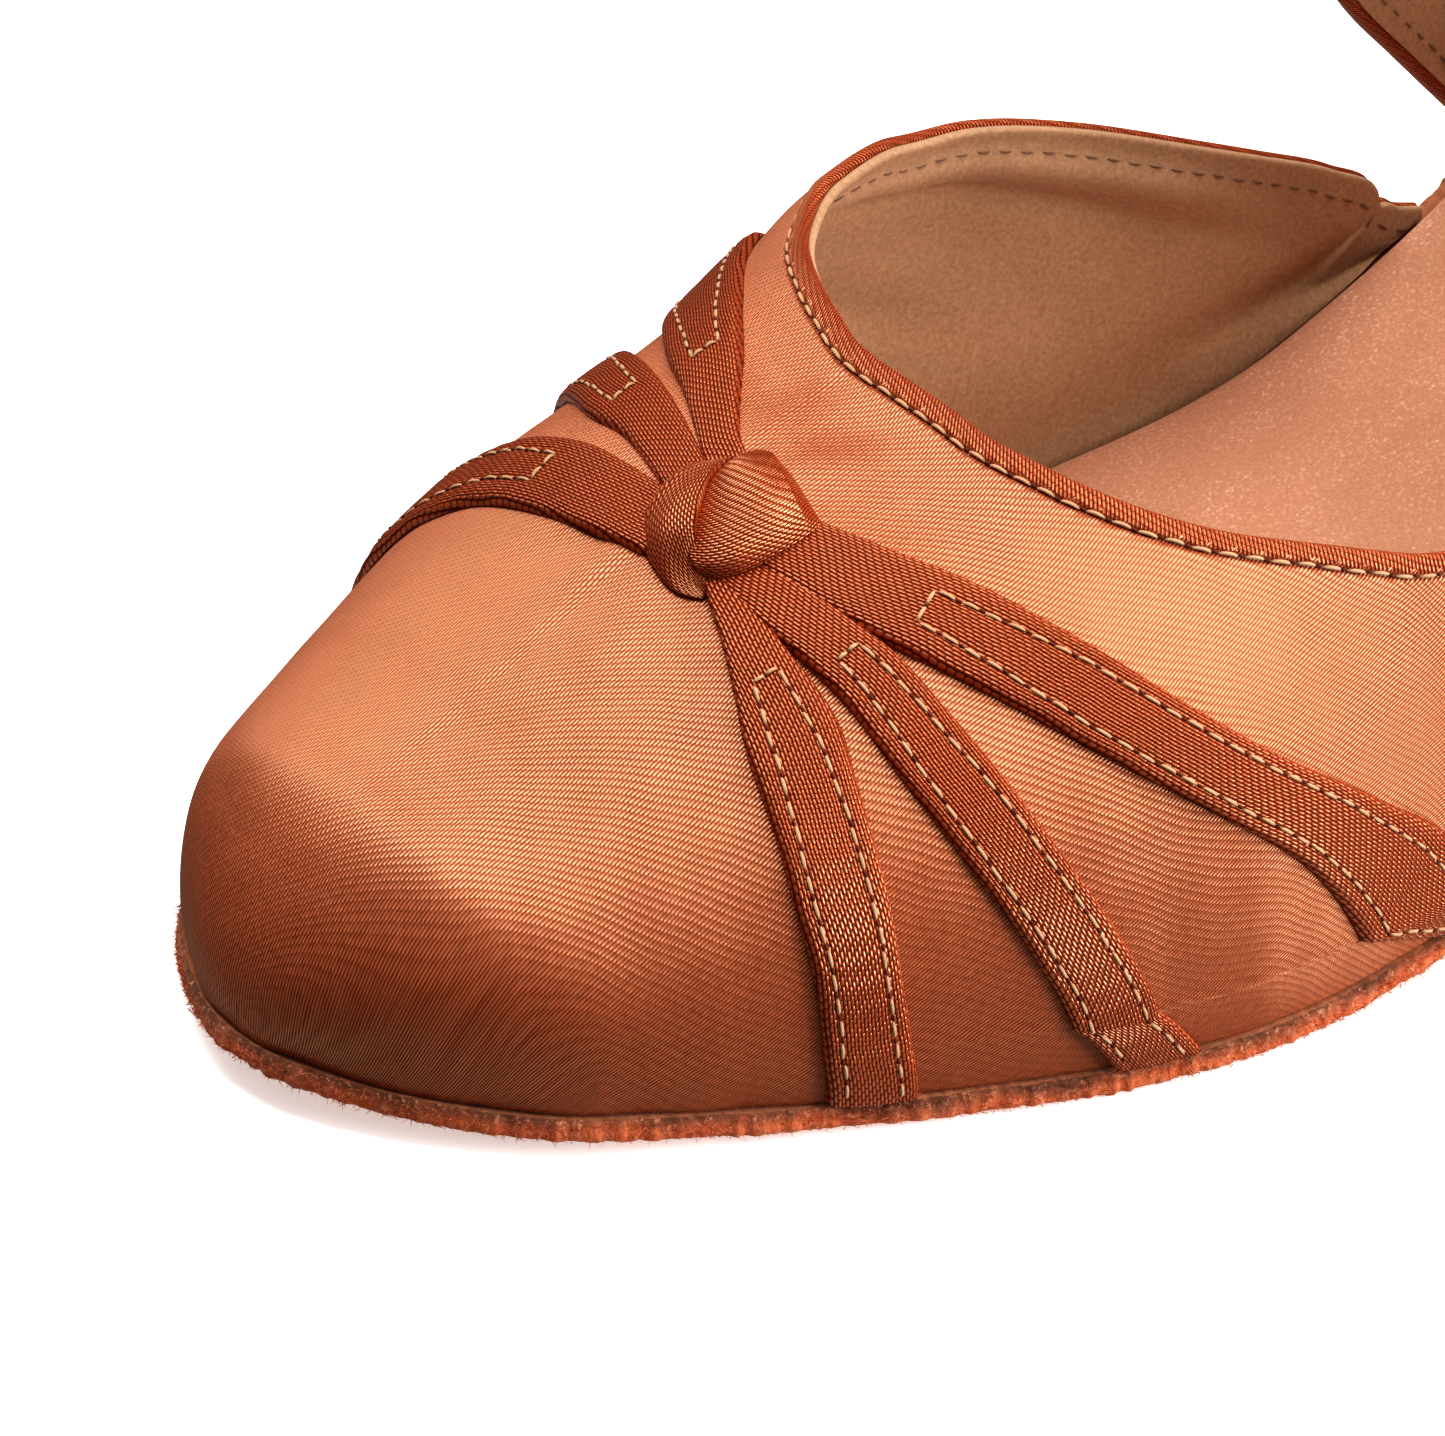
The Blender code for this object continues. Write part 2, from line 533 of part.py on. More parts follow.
def seat_ring(count=24):
    """The feather line behind the breast, in the same order as a heel ring."""
    margin = SOLE_RIM - 0.2
    sides = [offset_outline(-1, margin), offset_outline(1, margin)]
    front = BREAST
    flat = int(count * 0.30)
    y0 = np.interp(front, sides[0][:, 0], sides[0][:, 1])
    y1 = np.interp(front, sides[1][:, 0], sides[1][:, 1])
    points = [(front, y0 + (y1 - y0) * i / flat) for i in range(flat)]
    inner = sides[1][sides[1][:, 0] > front]
    outer = sides[0][sides[0][:, 0] > front]
    line = np.concatenate([[[front, y1]], inner, outer[::-1], [[front, y0]]])
    arc = resample(line, count - flat + 1)[:-1]
    return np.concatenate([np.array(points), arc])


rings = []
top_ring = seat_ring()
foot = TIP_HIGH + GAP
for share in (0.0, 0.06, 0.13, 0.22, 0.33, 0.46, 0.60, 0.74, 0.88, 1.0):
    front = float(smooth(HEEL_SHAPE, 1, share)) * LENGTH
    back = float(smooth(HEEL_SHAPE, 2, share)) * LENGTH
    half = float(smooth(HEEL_SHAPE, 3, share)) * BALL_HALF
    blend = min(1.0, share / 0.30) ** 0.8
    round_ring = heel_ring(front, back, half)
    squeezed = top_ring.copy()
    squeezed[:, 0] = front + (top_ring[:, 0] - BREAST) / (HEEL_SHAPE[0][2] * LENGTH - BREAST) * (back - front)
    squeezed[:, 1] *= half / (HEEL_SHAPE[0][3] * BALL_HALF)
    plan = squeezed * (1 - blend) + round_ring * blend
    seat_high = feather(np.clip(top_ring[:, 0], 0, LENGTH)) - GAP
    z = seat_high * (1 - share) + foot * share
    rings.append([(x, y, h) for (x, y), h in zip(plan, z)])
loft("heel", rings, "flat", "flat")
tip_plan = heel_ring(HEEL_SHAPE[-1][1] * LENGTH, HEEL_SHAPE[-1][2] * LENGTH, HEEL_SHAPE[-1][3] * BALL_HALF)
centre = tip_plan.mean(0)
loft("heel_tip", [[(*(centre + (p - centre) * k), z) for p in tip_plan]
                  for k, z in ((1.0, TIP_HIGH), (1.0, 0.7), (0.96, 0.0))], "flat", "flat")

# Ribbons: each lies between two larger forms of the last
RIBBON_ROWS = 21


def ribbon_chart(rows, columns):
    table = np.array(rows, float) * [LENGTH, 1, LENGTH, 1]
    edge = skin(chart(table[:, 0], table[:, 1]))
    along = np.concatenate([[0], np.cumsum(np.linalg.norm(np.diff(edge, axis=0), axis=1))])
    at = np.linspace(0, along[-1], columns)
    keyed = [tuple([a] + list(r)) for a, r in zip(along, table)]
    edge_a = chart(smooth(keyed, 1, at), smooth(keyed, 2, at))
    edge_b = chart(smooth(keyed, 3, at), smooth(keyed, 4, at))
    t = np.linspace(0, 1, 4)[:, None, None]
    return edge_a[None] * (1 - t) + edge_b[None] * t


for name, rows in RIBBONS.items():
    flat = ribbon_chart(rows, RIBBON_ROWS)
    surface, out = skin(flat), skin_out(flat)
    low = surface + out * RIBBON_GAP
    high = surface + out * (RIBBON_GAP + RIBBON_THICK)
    if name.endswith("inner"):
        low, high = low[::-1], high[::-1]
    shell(name, high, low)

# Knot: a folded pad over the ribbons' ends with a crease between its two lobes
centre = chart(KNOT_AT[0] * LENGTH, KNOT_AT[1])
e = 0.05
across_step = (skin(centre + [e, 0]) - skin(centre - [e, 0])) / (2 * e)
along_step = (skin(centre + [0, e]) - skin(centre - [0, e])) / (2 * e)
count, levels = 22, (0.35, 0.62, 0.82, 0.95, 1.0)
points, faces = [], []


def knot_point(radius, turn, height):
    x = KNOT_HALF_ACROSS * radius * math.cos(turn)
    y = KNOT_HALF_ALONG * radius * math.sin(turn)
    flat = centre + np.array([x / np.linalg.norm(across_step), y / np.linalg.norm(along_step)])
    return skin(flat) + skin_out(flat) * height, x, y


rim_low = GAP + RIBBON_GAP + RIBBON_THICK
p, x, y = knot_point(0, 0, rim_low + KNOT_HIGH * 0.72)
points.append(p)
for level in levels:
    for j in range(count):
        turn = 2 * math.pi * j / count
        dome = (1 - level ** 2.4) ** 0.5 if level < 1 else 0.0
        _, x, y = knot_point(level, turn, 0)
        crease = math.exp(-((x * 0.86 + y * 0.5 - 1.2) / 1.3) ** 2)
        height = rim_low + 0.9 + (KNOT_HIGH - 0.9) * dome * (1 - 0.30 * crease)
        points.append(knot_point(level, turn, height)[0])
under = ((1.0, rim_low), (0.66, rim_low), (0.56, GAP))
for level, height in under:
    for j in range(count):
        points.append(knot_point(level * 0.97, 2 * math.pi * j / count, height)[0])
points.append(knot_point(0, 0, GAP)[0])
rows = len(levels) + len(under)
for j in range(count):
    k = (j + 1) % count
    faces.append((0, 1 + j, 1 + k))
    for i in range(rows - 1):
        a, b = 1 + i * count, 1 + (i + 1) * count
        faces.append((a + j, b + j, b + k, a + k))
    faces.append((len(points) - 1, 1 + (rows - 1) * count + k, 1 + (rows - 1) * count + j))
make("knot", points, faces)


# Instep strap: one band from the inner ear over the instep to the outer ear
def strap_line():
    flats = []
    for kind, station, value in STRAP_PATH:
        if kind == "angle":
            flats.append(chart(station * LENGTH, value))
        else:
            side = 1.0 if kind == "inner" else -1.0
            turn = float(angle_at(station * LENGTH, value * INSTEP, side))
            flats.append(chart(station * LENGTH, math.degrees(turn)))
    flats = np.array(flats)
    space = skin(flats)
    along = np.concatenate([[0], np.cumsum(np.linalg.norm(np.diff(space, axis=0), axis=1))])
    keyed = [(a, f[0], f[1]) for a, f in zip(along, flats)]
    return along[-1], along, keyed


def strap_frame(keyed, at):
    """Chart point, surface point, travel, across and out directions at a distance along the strap."""
    def flat_at(t):
        return np.array([float(smooth(keyed, 1, t)), float(smooth(keyed, 2, t))])
    flat = flat_at(at)
    step = 0.4
    travel = skin(flat_at(at + step)) - skin(flat_at(at - step))
    travel /= np.linalg.norm(travel)
    out = skin_out(flat)
    across = np.cross(out, travel)
    across /= np.linalg.norm(across)
    return flat, skin(flat), travel, across, out


def strap_point(keyed, at, across_mm, high):
    flat, point, travel, across, out = strap_frame(keyed, at)
    e = 0.03
    j = np.stack([(skin(flat + [e, 0]) - skin(flat - [e, 0])) / (2 * e),
                  (skin(flat + [0, e]) - skin(flat - [0, e])) / (2 * e)], -1)
    move = np.linalg.lstsq(j, across * across_mm, rcond=None)[0]
    moved = flat + move
    return skin(moved) + skin_out(moved) * high


strap_long, strap_marks, strap_keys = strap_line()
bar_at = strap_marks[9] - 2.2            # the buckle's heel bar, just ahead of the outer ear's end
slot = (bar_at - BUCKLE_LONG * 0.62, bar_at - BUCKLE_LONG * 0.17)
stops = np.unique(np.concatenate([np.linspace(0.5, slot[0], 20), np.linspace(slot[1], strap_long - 0.5, 9)]))
slot_column = 19
lanes = np.array([-0.5, -0.12, 0.12, 0.5]) * STRAP_WIDE
rows, columns = len(lanes), len(stops)
high_grid = np.array([[strap_point(strap_keys, a, w, GAP + STRAP_THICK) for a in stops] for w in lanes])
low_grid = np.array([[strap_point(strap_keys, a, w, GAP) for a in stops] for w in lanes])
n = rows * columns
points = np.concatenate([high_grid.reshape(-1, 3), low_grid.reshape(-1, 3)])
faces = []
for i in range(rows - 1):
    for j in range(columns - 1):
        a = i * columns + j
        if i == 1 and j == slot_column:
            ring = (a, a + 1, a + columns + 1, a + columns)
            for p0, p1 in zip(ring, ring[1:] + ring[:1]):
                faces.append((p0, p1, p1 + n, p0 + n))
            continue
        faces.append((a, a + 1, a + columns + 1, a + columns))
        faces.append((a + n, a + columns + n, a + columns + 1 + n, a + 1 + n))
rim = (list(range(columns)) + [i * columns + columns - 1 for i in range(1, rows)]
       + [(rows - 1) * columns + j for j in range(columns - 2, -1, -1)]
       + [i * columns for i in range(rows - 2, 0, -1)])
for a, b in zip(rim, rim[1:] + rim[:1]):
    faces.append((b, a, a + n, b + n))
make("instep_strap", points, faces)


# Buckle: a tilted wire frame, its heel bar under the strap and its front bar over it
def tube(name, path, radius, sides, closed):
    path = np.array(path, float)
    count = len(path)
    rings = []
    for i in range(count):
        if closed:
            direction = path[(i + 1) % count] - path[i - 1]
        else:
            direction = path[min(i + 1, count - 1)] - path[max(i - 1, 0)]
        direction /= np.linalg.norm(direction)
        side = np.cross(direction, frame_out)
        side /= np.linalg.norm(side)
        lift = np.cross(side, direction)
        rings.append([path[i] + radius * (side * math.cos(2 * math.pi * k / sides)
                                          + lift * math.sin(2 * math.pi * k / sides)) for k in range(sides)])
    if not closed:
        return loft(name, rings, "flat", "flat")
    points = [p for ring in rings for p in ring]
    faces = []
    for i in range(count):
        for k in range(sides):
            a, b = i * sides, ((i + 1) % count) * sides
            m = (k + 1) % sides
            faces.append((a + k, a + m, b + m, b + k))
    return make(name, points, faces)


_, heel_bar, _, _, out = strap_frame(strap_keys, bar_at)
_, front_point, _, _, front_out = strap_frame(strap_keys, bar_at - BUCKLE_LONG)
heel_bar = heel_bar - out * (WIRE / 2 + 0.1)
front_bar = front_point + front_out * (GAP + STRAP_THICK + GAP + WIRE / 2)
frame_along = front_bar - heel_bar
frame_long = np.linalg.norm(frame_along)
frame_along /= frame_long
frame_out = out - frame_along * float(out @ frame_along)
frame_out /= np.linalg.norm(frame_out)
frame_across = np.cross(frame_out, frame_along)
half_wide = STRAP_WIDE / 2 + 0.45 + WIRE / 2
corner = 1.6
path = []
for cx, cy, start in ((frame_long - corner, half_wide - corner, 0), (corner, half_wide - corner, 90),
                      (corner, -half_wide + corner, 180), (frame_long - corner, -half_wide + corner, 270)):
    for k in range(4):
        a = math.radians(start + 30 * k)
        path.append(heel_bar + frame_along * (cx + corner * math.cos(a))
                    + frame_across * (cy + corner * math.sin(a)))
tube("buckle_frame", path, WIRE / 2, 8, True)
PRONG = (  # shares of BUCKLE_LONG ahead of the heel bar, height over the frame's plane in mm
    (0.155, -0.10), (0.282, 0.60), (0.445, 1.55), (0.673, 1.85), (0.909, 1.60), (1.109, 1.40))
prong_path = [heel_bar + frame_along * (x * BUCKLE_LONG) + frame_out * z for x, z in PRONG]
tube("buckle_prong", prong_path, 0.5, 8, False)
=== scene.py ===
"""Looks of a left latin dance shoe: satin vamp, fanned ribbons and knot, counter, strap, flared heel.

Lengths are millimetres in the shoe's own frame: station back from the toe tip, y towards the
inner side, z up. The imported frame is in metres, its origin under the forefoot's tread.
"""
import math

import bpy
import numpy as np
from mathutils import Matrix, Vector


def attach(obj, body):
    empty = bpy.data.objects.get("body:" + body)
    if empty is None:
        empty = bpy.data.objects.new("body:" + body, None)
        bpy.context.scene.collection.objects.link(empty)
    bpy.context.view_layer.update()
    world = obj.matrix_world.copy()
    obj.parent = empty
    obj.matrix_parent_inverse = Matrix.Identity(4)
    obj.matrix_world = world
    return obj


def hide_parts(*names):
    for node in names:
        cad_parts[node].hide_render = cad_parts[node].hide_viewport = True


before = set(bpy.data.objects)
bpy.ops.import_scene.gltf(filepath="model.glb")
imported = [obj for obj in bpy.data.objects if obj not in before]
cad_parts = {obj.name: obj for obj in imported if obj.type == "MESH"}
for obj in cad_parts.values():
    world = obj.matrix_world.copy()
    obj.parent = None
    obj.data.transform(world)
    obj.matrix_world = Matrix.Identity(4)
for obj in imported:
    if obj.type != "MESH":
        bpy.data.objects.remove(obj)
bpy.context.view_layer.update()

MM = 0.001

# driving sizes of the last
LENGTH = 222.0
BALL_HALF = 39.0
HEEL_RISE = 50.0
TOE_SPRING = 2.7
INSTEP = 63.0
TREAD_STATION = 0.311 * LENGTH
TOE_ROUND = 17.0
HEEL_ROUND = 26.0
TOE_SKEW = 1.3
RIDGE_OFFSET = 3.4
LOW_WALL = 5.0
LOW_BULGE = 0.8
LOW_SHARE = 0.22
NOSE = 0.5
SQUARE_SIDE = 0.84
SQUARE_TOP = 0.91

# making sizes
GAP = 0.3
SOLE_THICK = 2.0
SOLE_RIM = 0.6
VAMP_WALL = 1.8
COUNTER_WALL = 2.2
INSOLE_THICK = 2.5
RIBBON_THICK = 1.1
RIBBON_GAP = 0.4
TOE_RUN = 60.0                  # length over which the toe takes its own shape
TOP_ROUND = 12.0                # rounding of the ridge at the toe tip
LOW_ROUND = 20.0
NOSE_HIGH = 14.0
BACK_RUN = 36.0                 # length over which the back curve fades in
EDGE_STEP = 0.4
TIP_HIGH = 4.0

OUTLINE = (  # station share of length, inner half width, outer half width, both shares of BALL_HALF
    (0.00, 0.400, 0.430), (0.05, 0.580, 0.560), (0.12, 0.767, 0.750), (0.20, 0.930, 0.937),
    (0.27, 0.977, 1.070), (0.33, 0.980, 1.122), (0.41, 0.900, 1.100), (0.50, 0.740, 0.977),
    (0.59, 0.605, 0.828), (0.68, 0.576, 0.712), (0.78, 0.617, 0.670), (0.88, 0.648, 0.664),
    (1.00, 0.640, 0.638))
PROFILE = (  # station share, share of TOE_SPRING, share of HEEL_RISE
    (0.00, 1.00, 0.0), (0.05, 0.62, 0.0), (0.12, 0.27, 0.0), (0.20, 0.06, 0.0), (0.27, 0.0, 0.0),
    (0.35, 0.0, 0.0), (0.41, 0.0, 0.02), (0.45, 0.0, 0.08), (0.54, 0.0, 0.207), (0.63, 0.0, 0.395),
    (0.71, 0.0, 0.60), (0.79, 0.0, 0.775), (0.88, 0.0, 0.90), (1.00, 0.0, 1.0))
HEIGHT = (  # station share, ridge height share of INSTEP, ridge shift inwards in mm, inner squareness
    (0.00, 0.246, 0.0, 0.0), (0.07, 0.331, 0.0, 0.0), (0.135, 0.451, 0.0, 0.0), (0.20, 0.563, 0.0, 0.0),
    (0.27, 0.655, 0.0, 0.0), (0.30, 0.700, 0.8, 0.0), (0.335, 0.755, 2.2, 0.05), (0.37, 0.815, 3.3, 0.15),
    (0.45, 0.940, 4.0, 0.15), (0.52, 1.030, 4.0, 0.15), (0.70, 1.200, 1.0, 0.08), (0.82, 1.260, -3.4, 0.0),
    (1.00, 1.300, -3.4, 0.0))
COLLAR = (  # angle round the section in degrees from the outer feather edge, station share
    (8.0, 0.6712), (18.0, 0.6036), (27.0, 0.5405), (35.0, 0.482), (42.9, 0.427), (49.6, 0.3869),
    (58.9, 0.3405), (65.8, 0.3185), (71.7, 0.3063), (79.2, 0.2977), (88.2, 0.2968), (95.6, 0.3068),
    (104.0, 0.3239), (108.7, 0.3369), (120.3, 0.3959), (130.0, 0.4338), (138.0, 0.4766),
    (146.4, 0.5315), (153.6, 0.5874), (157.4, 0.6216), (160.0, 0.6441), (169.5, 0.6554), (178.0, 0.6667))
# each ribbon: station share and angle of its toe-side edge, then of its heel-side edge, row by row from the knot
RIBBONS = {
    "ribbon_front_outer": (
        (0.1960, 86.0, 0.2010, 85.5), (0.1847, 81.5, 0.1937, 81.0), (0.1752, 76.0, 0.1915, 75.6),
        (0.1662, 70.2, 0.1902, 70.0), (0.1559, 62.0, 0.1893, 62.4),
        (0.1505, 51.6, 0.1833, 52.9), (0.1473, 39.8, 0.1797, 42.3), (0.1491, 28.1, 0.1788, 30.4),
        (0.1523, 14.0, 0.1833, 17.0), (0.1545, 1.5, 0.1878, 1.5)),
    "ribbon_middle_outer": (
        (0.1975, 86.0, 0.2060, 85.5), (0.1895, 81.0, 0.2050, 81.0), (0.1888, 75.8, 0.2100, 76.0),
        (0.1912, 70.0, 0.2140, 70.5), (0.1940, 63.3, 0.2190, 65.0),
        (0.1964, 54.5, 0.2248, 55.5), (0.2077, 41.0, 0.2392, 40.9), (0.2248, 28.9, 0.2568, 29.4),
        (0.2441, 17.0, 0.2784, 17.5), (0.259, 1.5, 0.2959, 1.5)),
    "ribbon_back_outer": (
        (0.2010, 85.0, 0.2270, 85.5), (0.2022, 81.0, 0.2322, 80.6), (0.2065, 75.5, 0.2375, 77.2),
        (0.2131, 69.7, 0.2447, 73.3), (0.2243, 63.5, 0.2560, 68.4),
        (0.2491, 53.1, 0.277, 58.5), (0.2734, 44.6, 0.2991, 49.1), (0.3036, 36.5, 0.3306, 39.7),
        (0.3423, 27.6, 0.3757, 30.6), (0.3811, 16.0, 0.427, 21.0), (0.4171, 1.5, 0.482, 1.5)),
    "ribbon_front_inner": (
        (0.1850, 86.5, 0.2080, 87.5), (0.1795, 94.2, 0.2105, 96.4), (0.1775, 102.5, 0.2126, 103.6), (0.1761, 111.1, 0.2131, 112.0),
        (0.1712, 122.0, 0.2108, 122.5), (0.1676, 136.0, 0.2072, 136.0), (0.1694, 152.0, 0.2045, 152.0),
        (0.1757, 166.0, 0.2081, 166.0), (0.1847, 178.5, 0.218, 178.5)),
    "ribbon_middle_inner": (
        (0.2020, 87.5, 0.2190, 87.5), (0.2120, 94.4, 0.2340, 94.4), (0.2207, 101.0, 0.245, 100.6), (0.227, 108.6, 0.2581, 108.6),
        (0.2414, 117.9, 0.2739, 118.4), (0.259, 130.0, 0.2928, 130.0), (0.2784, 145.0, 0.3126, 145.0),
        (0.2973, 160.0, 0.3333, 160.0), (0.3198, 178.5, 0.3604, 178.5)),
    "ribbon_back_inner": (
        (0.2170, 88.0, 0.2300, 87.6), (0.2330, 93.9, 0.2490, 92.3), (0.2486, 100.2, 0.2721, 98.4), (0.2631, 107.6, 0.2973, 106.6),
        (0.2811, 115.6, 0.3207, 114.2), (0.3108, 127.0, 0.3541, 124.8), (0.3468, 142.0, 0.3901, 139.5),
        (0.3919, 158.0, 0.4369, 156.5), (0.4414, 178.5, 0.4955, 178.5)),
}
KNOT_AT = (0.21, 84.4)          # station share and angle of the knot's middle
KNOT_HALF_ACROSS = 7.8
KNOT_HALF_ALONG = 6.2
KNOT_HIGH = 5.4
FRONT_EDGE = (  # counter front edge: height above the feather line as a share of INSTEP, station share
    (0.000, 0.7072), (0.0794, 0.6928), (0.1746, 0.6757), (0.327, 0.6486), (0.4762, 0.6216),
    (0.6349, 0.5973))
EAR_END = (139.2, 43.6)         # station and height of the ear's upper corner
TOP_EDGE = (  # counter top edge: station share, height above the feather line as a share of INSTEP
    (0.627, 0.6921), (0.6622, 0.6968), (0.7117, 0.6889), (0.7928, 0.7048), (0.8829, 0.7683),
    (0.955, 0.8032), (1.000, 0.8032))
BACK_CURVE = (  # height above the seat as a share of INSTEP, shift of the back towards the heel in mm
    (0.000, 0.0), (0.127, 1.2), (0.2857, 1.9), (0.4762, 0.8), (0.6667, -1.4), (0.8889, -3.8))
STRAP_PATH = (  # station share, then a height as a share of INSTEP or, in the middle rows, an angle
    ("inner", 0.6622, 0.4048), ("inner", 0.6374, 0.5397), ("inner", 0.6126, 0.6667),
    ("angle", 0.5766, 124.5), ("angle", 0.5473, 110.0), ("angle", 0.5315, 97.0),
    ("angle", 0.5293, 86.0), ("angle", 0.545, 71.0), ("angle", 0.5743, 57.0),
    ("outer", 0.6126, 0.6667), ("outer", 0.6374, 0.5397), ("outer", 0.6622, 0.4048),
    ("outer", 0.6847, 0.2778))
STRAP_WIDE = 9.0
STRAP_THICK = 1.6
WIRE = 1.4
BUCKLE_LONG = 11.0
HEEL_SHAPE = (  # share of the way down, breast and back as shares of LENGTH, half width of BALL_HALF
    (0.00, 0.7775, 1.0014, 0.641), (0.10, 0.800, 1.000, 0.5795), (0.24, 0.8297, 0.9937, 0.4564),
    (0.42, 0.8541, 0.9829, 0.3333), (0.62, 0.8658, 0.9748, 0.2769), (0.82, 0.8694, 0.9748, 0.2718),
    (1.00, 0.8667, 0.9784, 0.2974))

BREAST = HEEL_SHAPE[0][1] * LENGTH
VAMP_END = COLLAR[0][1] * LENGTH
PRONG = (  # shares of BUCKLE_LONG ahead of the heel bar, height over the frame's plane in mm
    (0.155, -0.10), (0.282, 0.60), (0.445, 1.55), (0.673, 1.85), (0.909, 1.60), (1.109, 1.40))


# The last: tables and sections, as in the solids
def smooth(table, column, x):
    """Monotone cubic through one column of a table, by the table's first column."""
    rows = np.array(table, float)
    xs, ys = rows[:, 0], rows[:, column]
    step = np.diff(xs)
    rate = np.diff(ys) / step
    slope = np.zeros_like(ys)
    for i in range(1, len(xs) - 1):
        if rate[i - 1] * rate[i] > 0:
            a = 2 * step[i] + step[i - 1]
            b = step[i] + 2 * step[i - 1]
            slope[i] = (a + b) / (a / rate[i - 1] + b / rate[i])
    slope[0], slope[-1] = rate[0], rate[-1]
    x = np.clip(np.asarray(x, float), xs[0], xs[-1])
    k = np.clip(np.searchsorted(xs, x, side="right") - 1, 0, len(step) - 1)
    t = (x - xs[k]) / step[k]
    return (ys[k] * (1 + 2 * t) * (1 - t) ** 2 + step[k] * slope[k] * t * (1 - t) ** 2
            + ys[k + 1] * t * t * (3 - 2 * t) + step[k] * slope[k + 1] * t * t * (t - 1))


def round_end(distance, radius):
    return np.sqrt(np.clip(1 - np.clip(1 - distance / radius, 0, 1) ** 2, 0, 1))


def halves(station):
    """Inner and outer half widths of the feather line."""
    share = station / LENGTH
    end = round_end(station, TOE_ROUND) * round_end(LENGTH - station, HEEL_ROUND) * BALL_HALF
    skew = TOE_SKEW * np.clip(1 - station / TOE_RUN, 0, 1) ** 1.5
    return smooth(OUTLINE, 1, share) * end + skew, smooth(OUTLINE, 2, share) * end - skew


def feather(station):
    """Height of the last's bottom edge above the floor."""
    share = station / LENGTH
    rise = TOE_SPRING * smooth(PROFILE, 1, share) + HEEL_RISE * smooth(PROFILE, 2, share)
    return SOLE_THICK + GAP + rise


def section(station, angle):
    """The last's surface: angle runs 0 at the outer feather edge over the ridge to pi at the inner."""
    station, angle = np.broadcast_arrays(np.asarray(station, float), np.asarray(angle, float))
    share = station / LENGTH
    inner, outer = halves(station)
    base = feather(station)
    high = smooth(HEIGHT, 1, share) * INSTEP * round_end(station, TOP_ROUND)
    low_high = LOW_WALL * round_end(station, LOW_ROUND)
    bulge = LOW_BULGE * round_end(station, LOW_ROUND)
    behind = np.clip(station / TOE_RUN, 0, 1)
    ridge = RIDGE_OFFSET * behind + TOE_SKEW * (1 - behind) + smooth(HEIGHT, 2, share)
    side = np.where(angle < np.pi / 2, -1.0, 1.0)
    half = np.where(side < 0, outer, inner)
    turn = np.where(side < 0, angle, np.pi - angle)
    knee = LOW_SHARE * np.pi / 2
    low = np.clip(turn / knee, 0, 1)
    phase = np.clip((turn - knee) / (np.pi / 2 - knee), 0, 1) * np.pi / 2
    square = np.where(side < 0, 0.0, smooth(HEIGHT, 3, share))
    y_low = side * (half + bulge * (1 - (1 - low) ** 2))
    z_low = base + low_high * low
    flank = np.clip(np.cos(phase), 0, 1) ** (SQUARE_SIDE - square)
    y_up = ridge + side * (half + bulge - side * ridge) * flank
    z_up = base + low_high + (high - low_high) * np.sin(phase) ** (SQUARE_TOP - square)
    y = np.where(turn < knee, y_low, y_up)
    z = np.where(turn < knee, z_low, z_up)
    rise = np.clip((z - base) / NOSE_HIGH, 0, 1)
    x = station - NOSE * 4 * rise * (1 - rise) * np.exp(-(station / LOW_ROUND) ** 2)
    return np.stack([x, y, z], -1)


def chart(station, angle_degrees):
    angle = np.radians(angle_degrees)
    root = np.sqrt(station)
    return np.stack([-root * np.cos(angle), root * np.sin(angle)], -1)


def skin(flat):
    root2 = (flat ** 2).sum(-1)
    return section(root2, np.arctan2(np.clip(flat[..., 1], 0, None), -flat[..., 0]))


def skin_out(flat):
    """Unit outward direction of the last's surface."""
    e = 0.02
    up = np.clip(flat[..., 1], e * 1.01, None)
    mid = np.stack([flat[..., 0], up], -1)
    du = skin(mid + [e, 0]) - skin(mid - [e, 0])
    dv = skin(mid + [0, e]) - skin(mid - [0, e])
    n = np.cross(du, dv)
    n = n / (np.linalg.norm(n, axis=-1, keepdims=True) + 1e-12)
    centre = skin(mid).copy()
    low = feather(np.clip(centre[..., 0], 0, LENGTH)) + 3
    core = np.stack([centre[..., 0] + 6, 0 * centre[..., 0] + 2, low], -1)
    flip = np.sign((n * (centre - core)).sum(-1, keepdims=True))
    return n * np.where(flip == 0, 1, flip)


def resample(points, count):
    """Evenly spaced points along a polyline."""
    length = np.concatenate([[0], np.cumsum(np.linalg.norm(np.diff(points, axis=0), axis=1))])
    at = np.linspace(0, length[-1], count)
    return np.stack([np.interp(at, length, points[:, i]) for i in range(points.shape[1])], -1)


def even_on_surface(flat_line, surface, count):
    """Chart points of a line spaced evenly along the surface."""
    space = surface(flat_line)
    length = np.concatenate([[0], np.cumsum(np.linalg.norm(np.diff(space, axis=0), axis=1))])
    at = np.linspace(0, length[-1], count)
    return np.stack([np.interp(at, length, flat_line[:, i]) for i in range(2)], -1)


def patch(bottom, top, left, right):
    """Grid between four edges of a flat chart, rows from bottom to top."""
    nu, nv = len(bottom), len(left)
    u = np.linspace(0, 1, nu)[None, :, None]
    v = np.linspace(0, 1, nv)[:, None, None]
    ruled = (1 - v) * bottom[None] + v * top[None] + (1 - u) * left[:, None] + u * right[:, None]
    low = (1 - u) * bottom[0] + u * bottom[-1]
    corner = (1 - v) * low + v * ((1 - u) * top[0] + u * top[-1])
    return ruled - corner


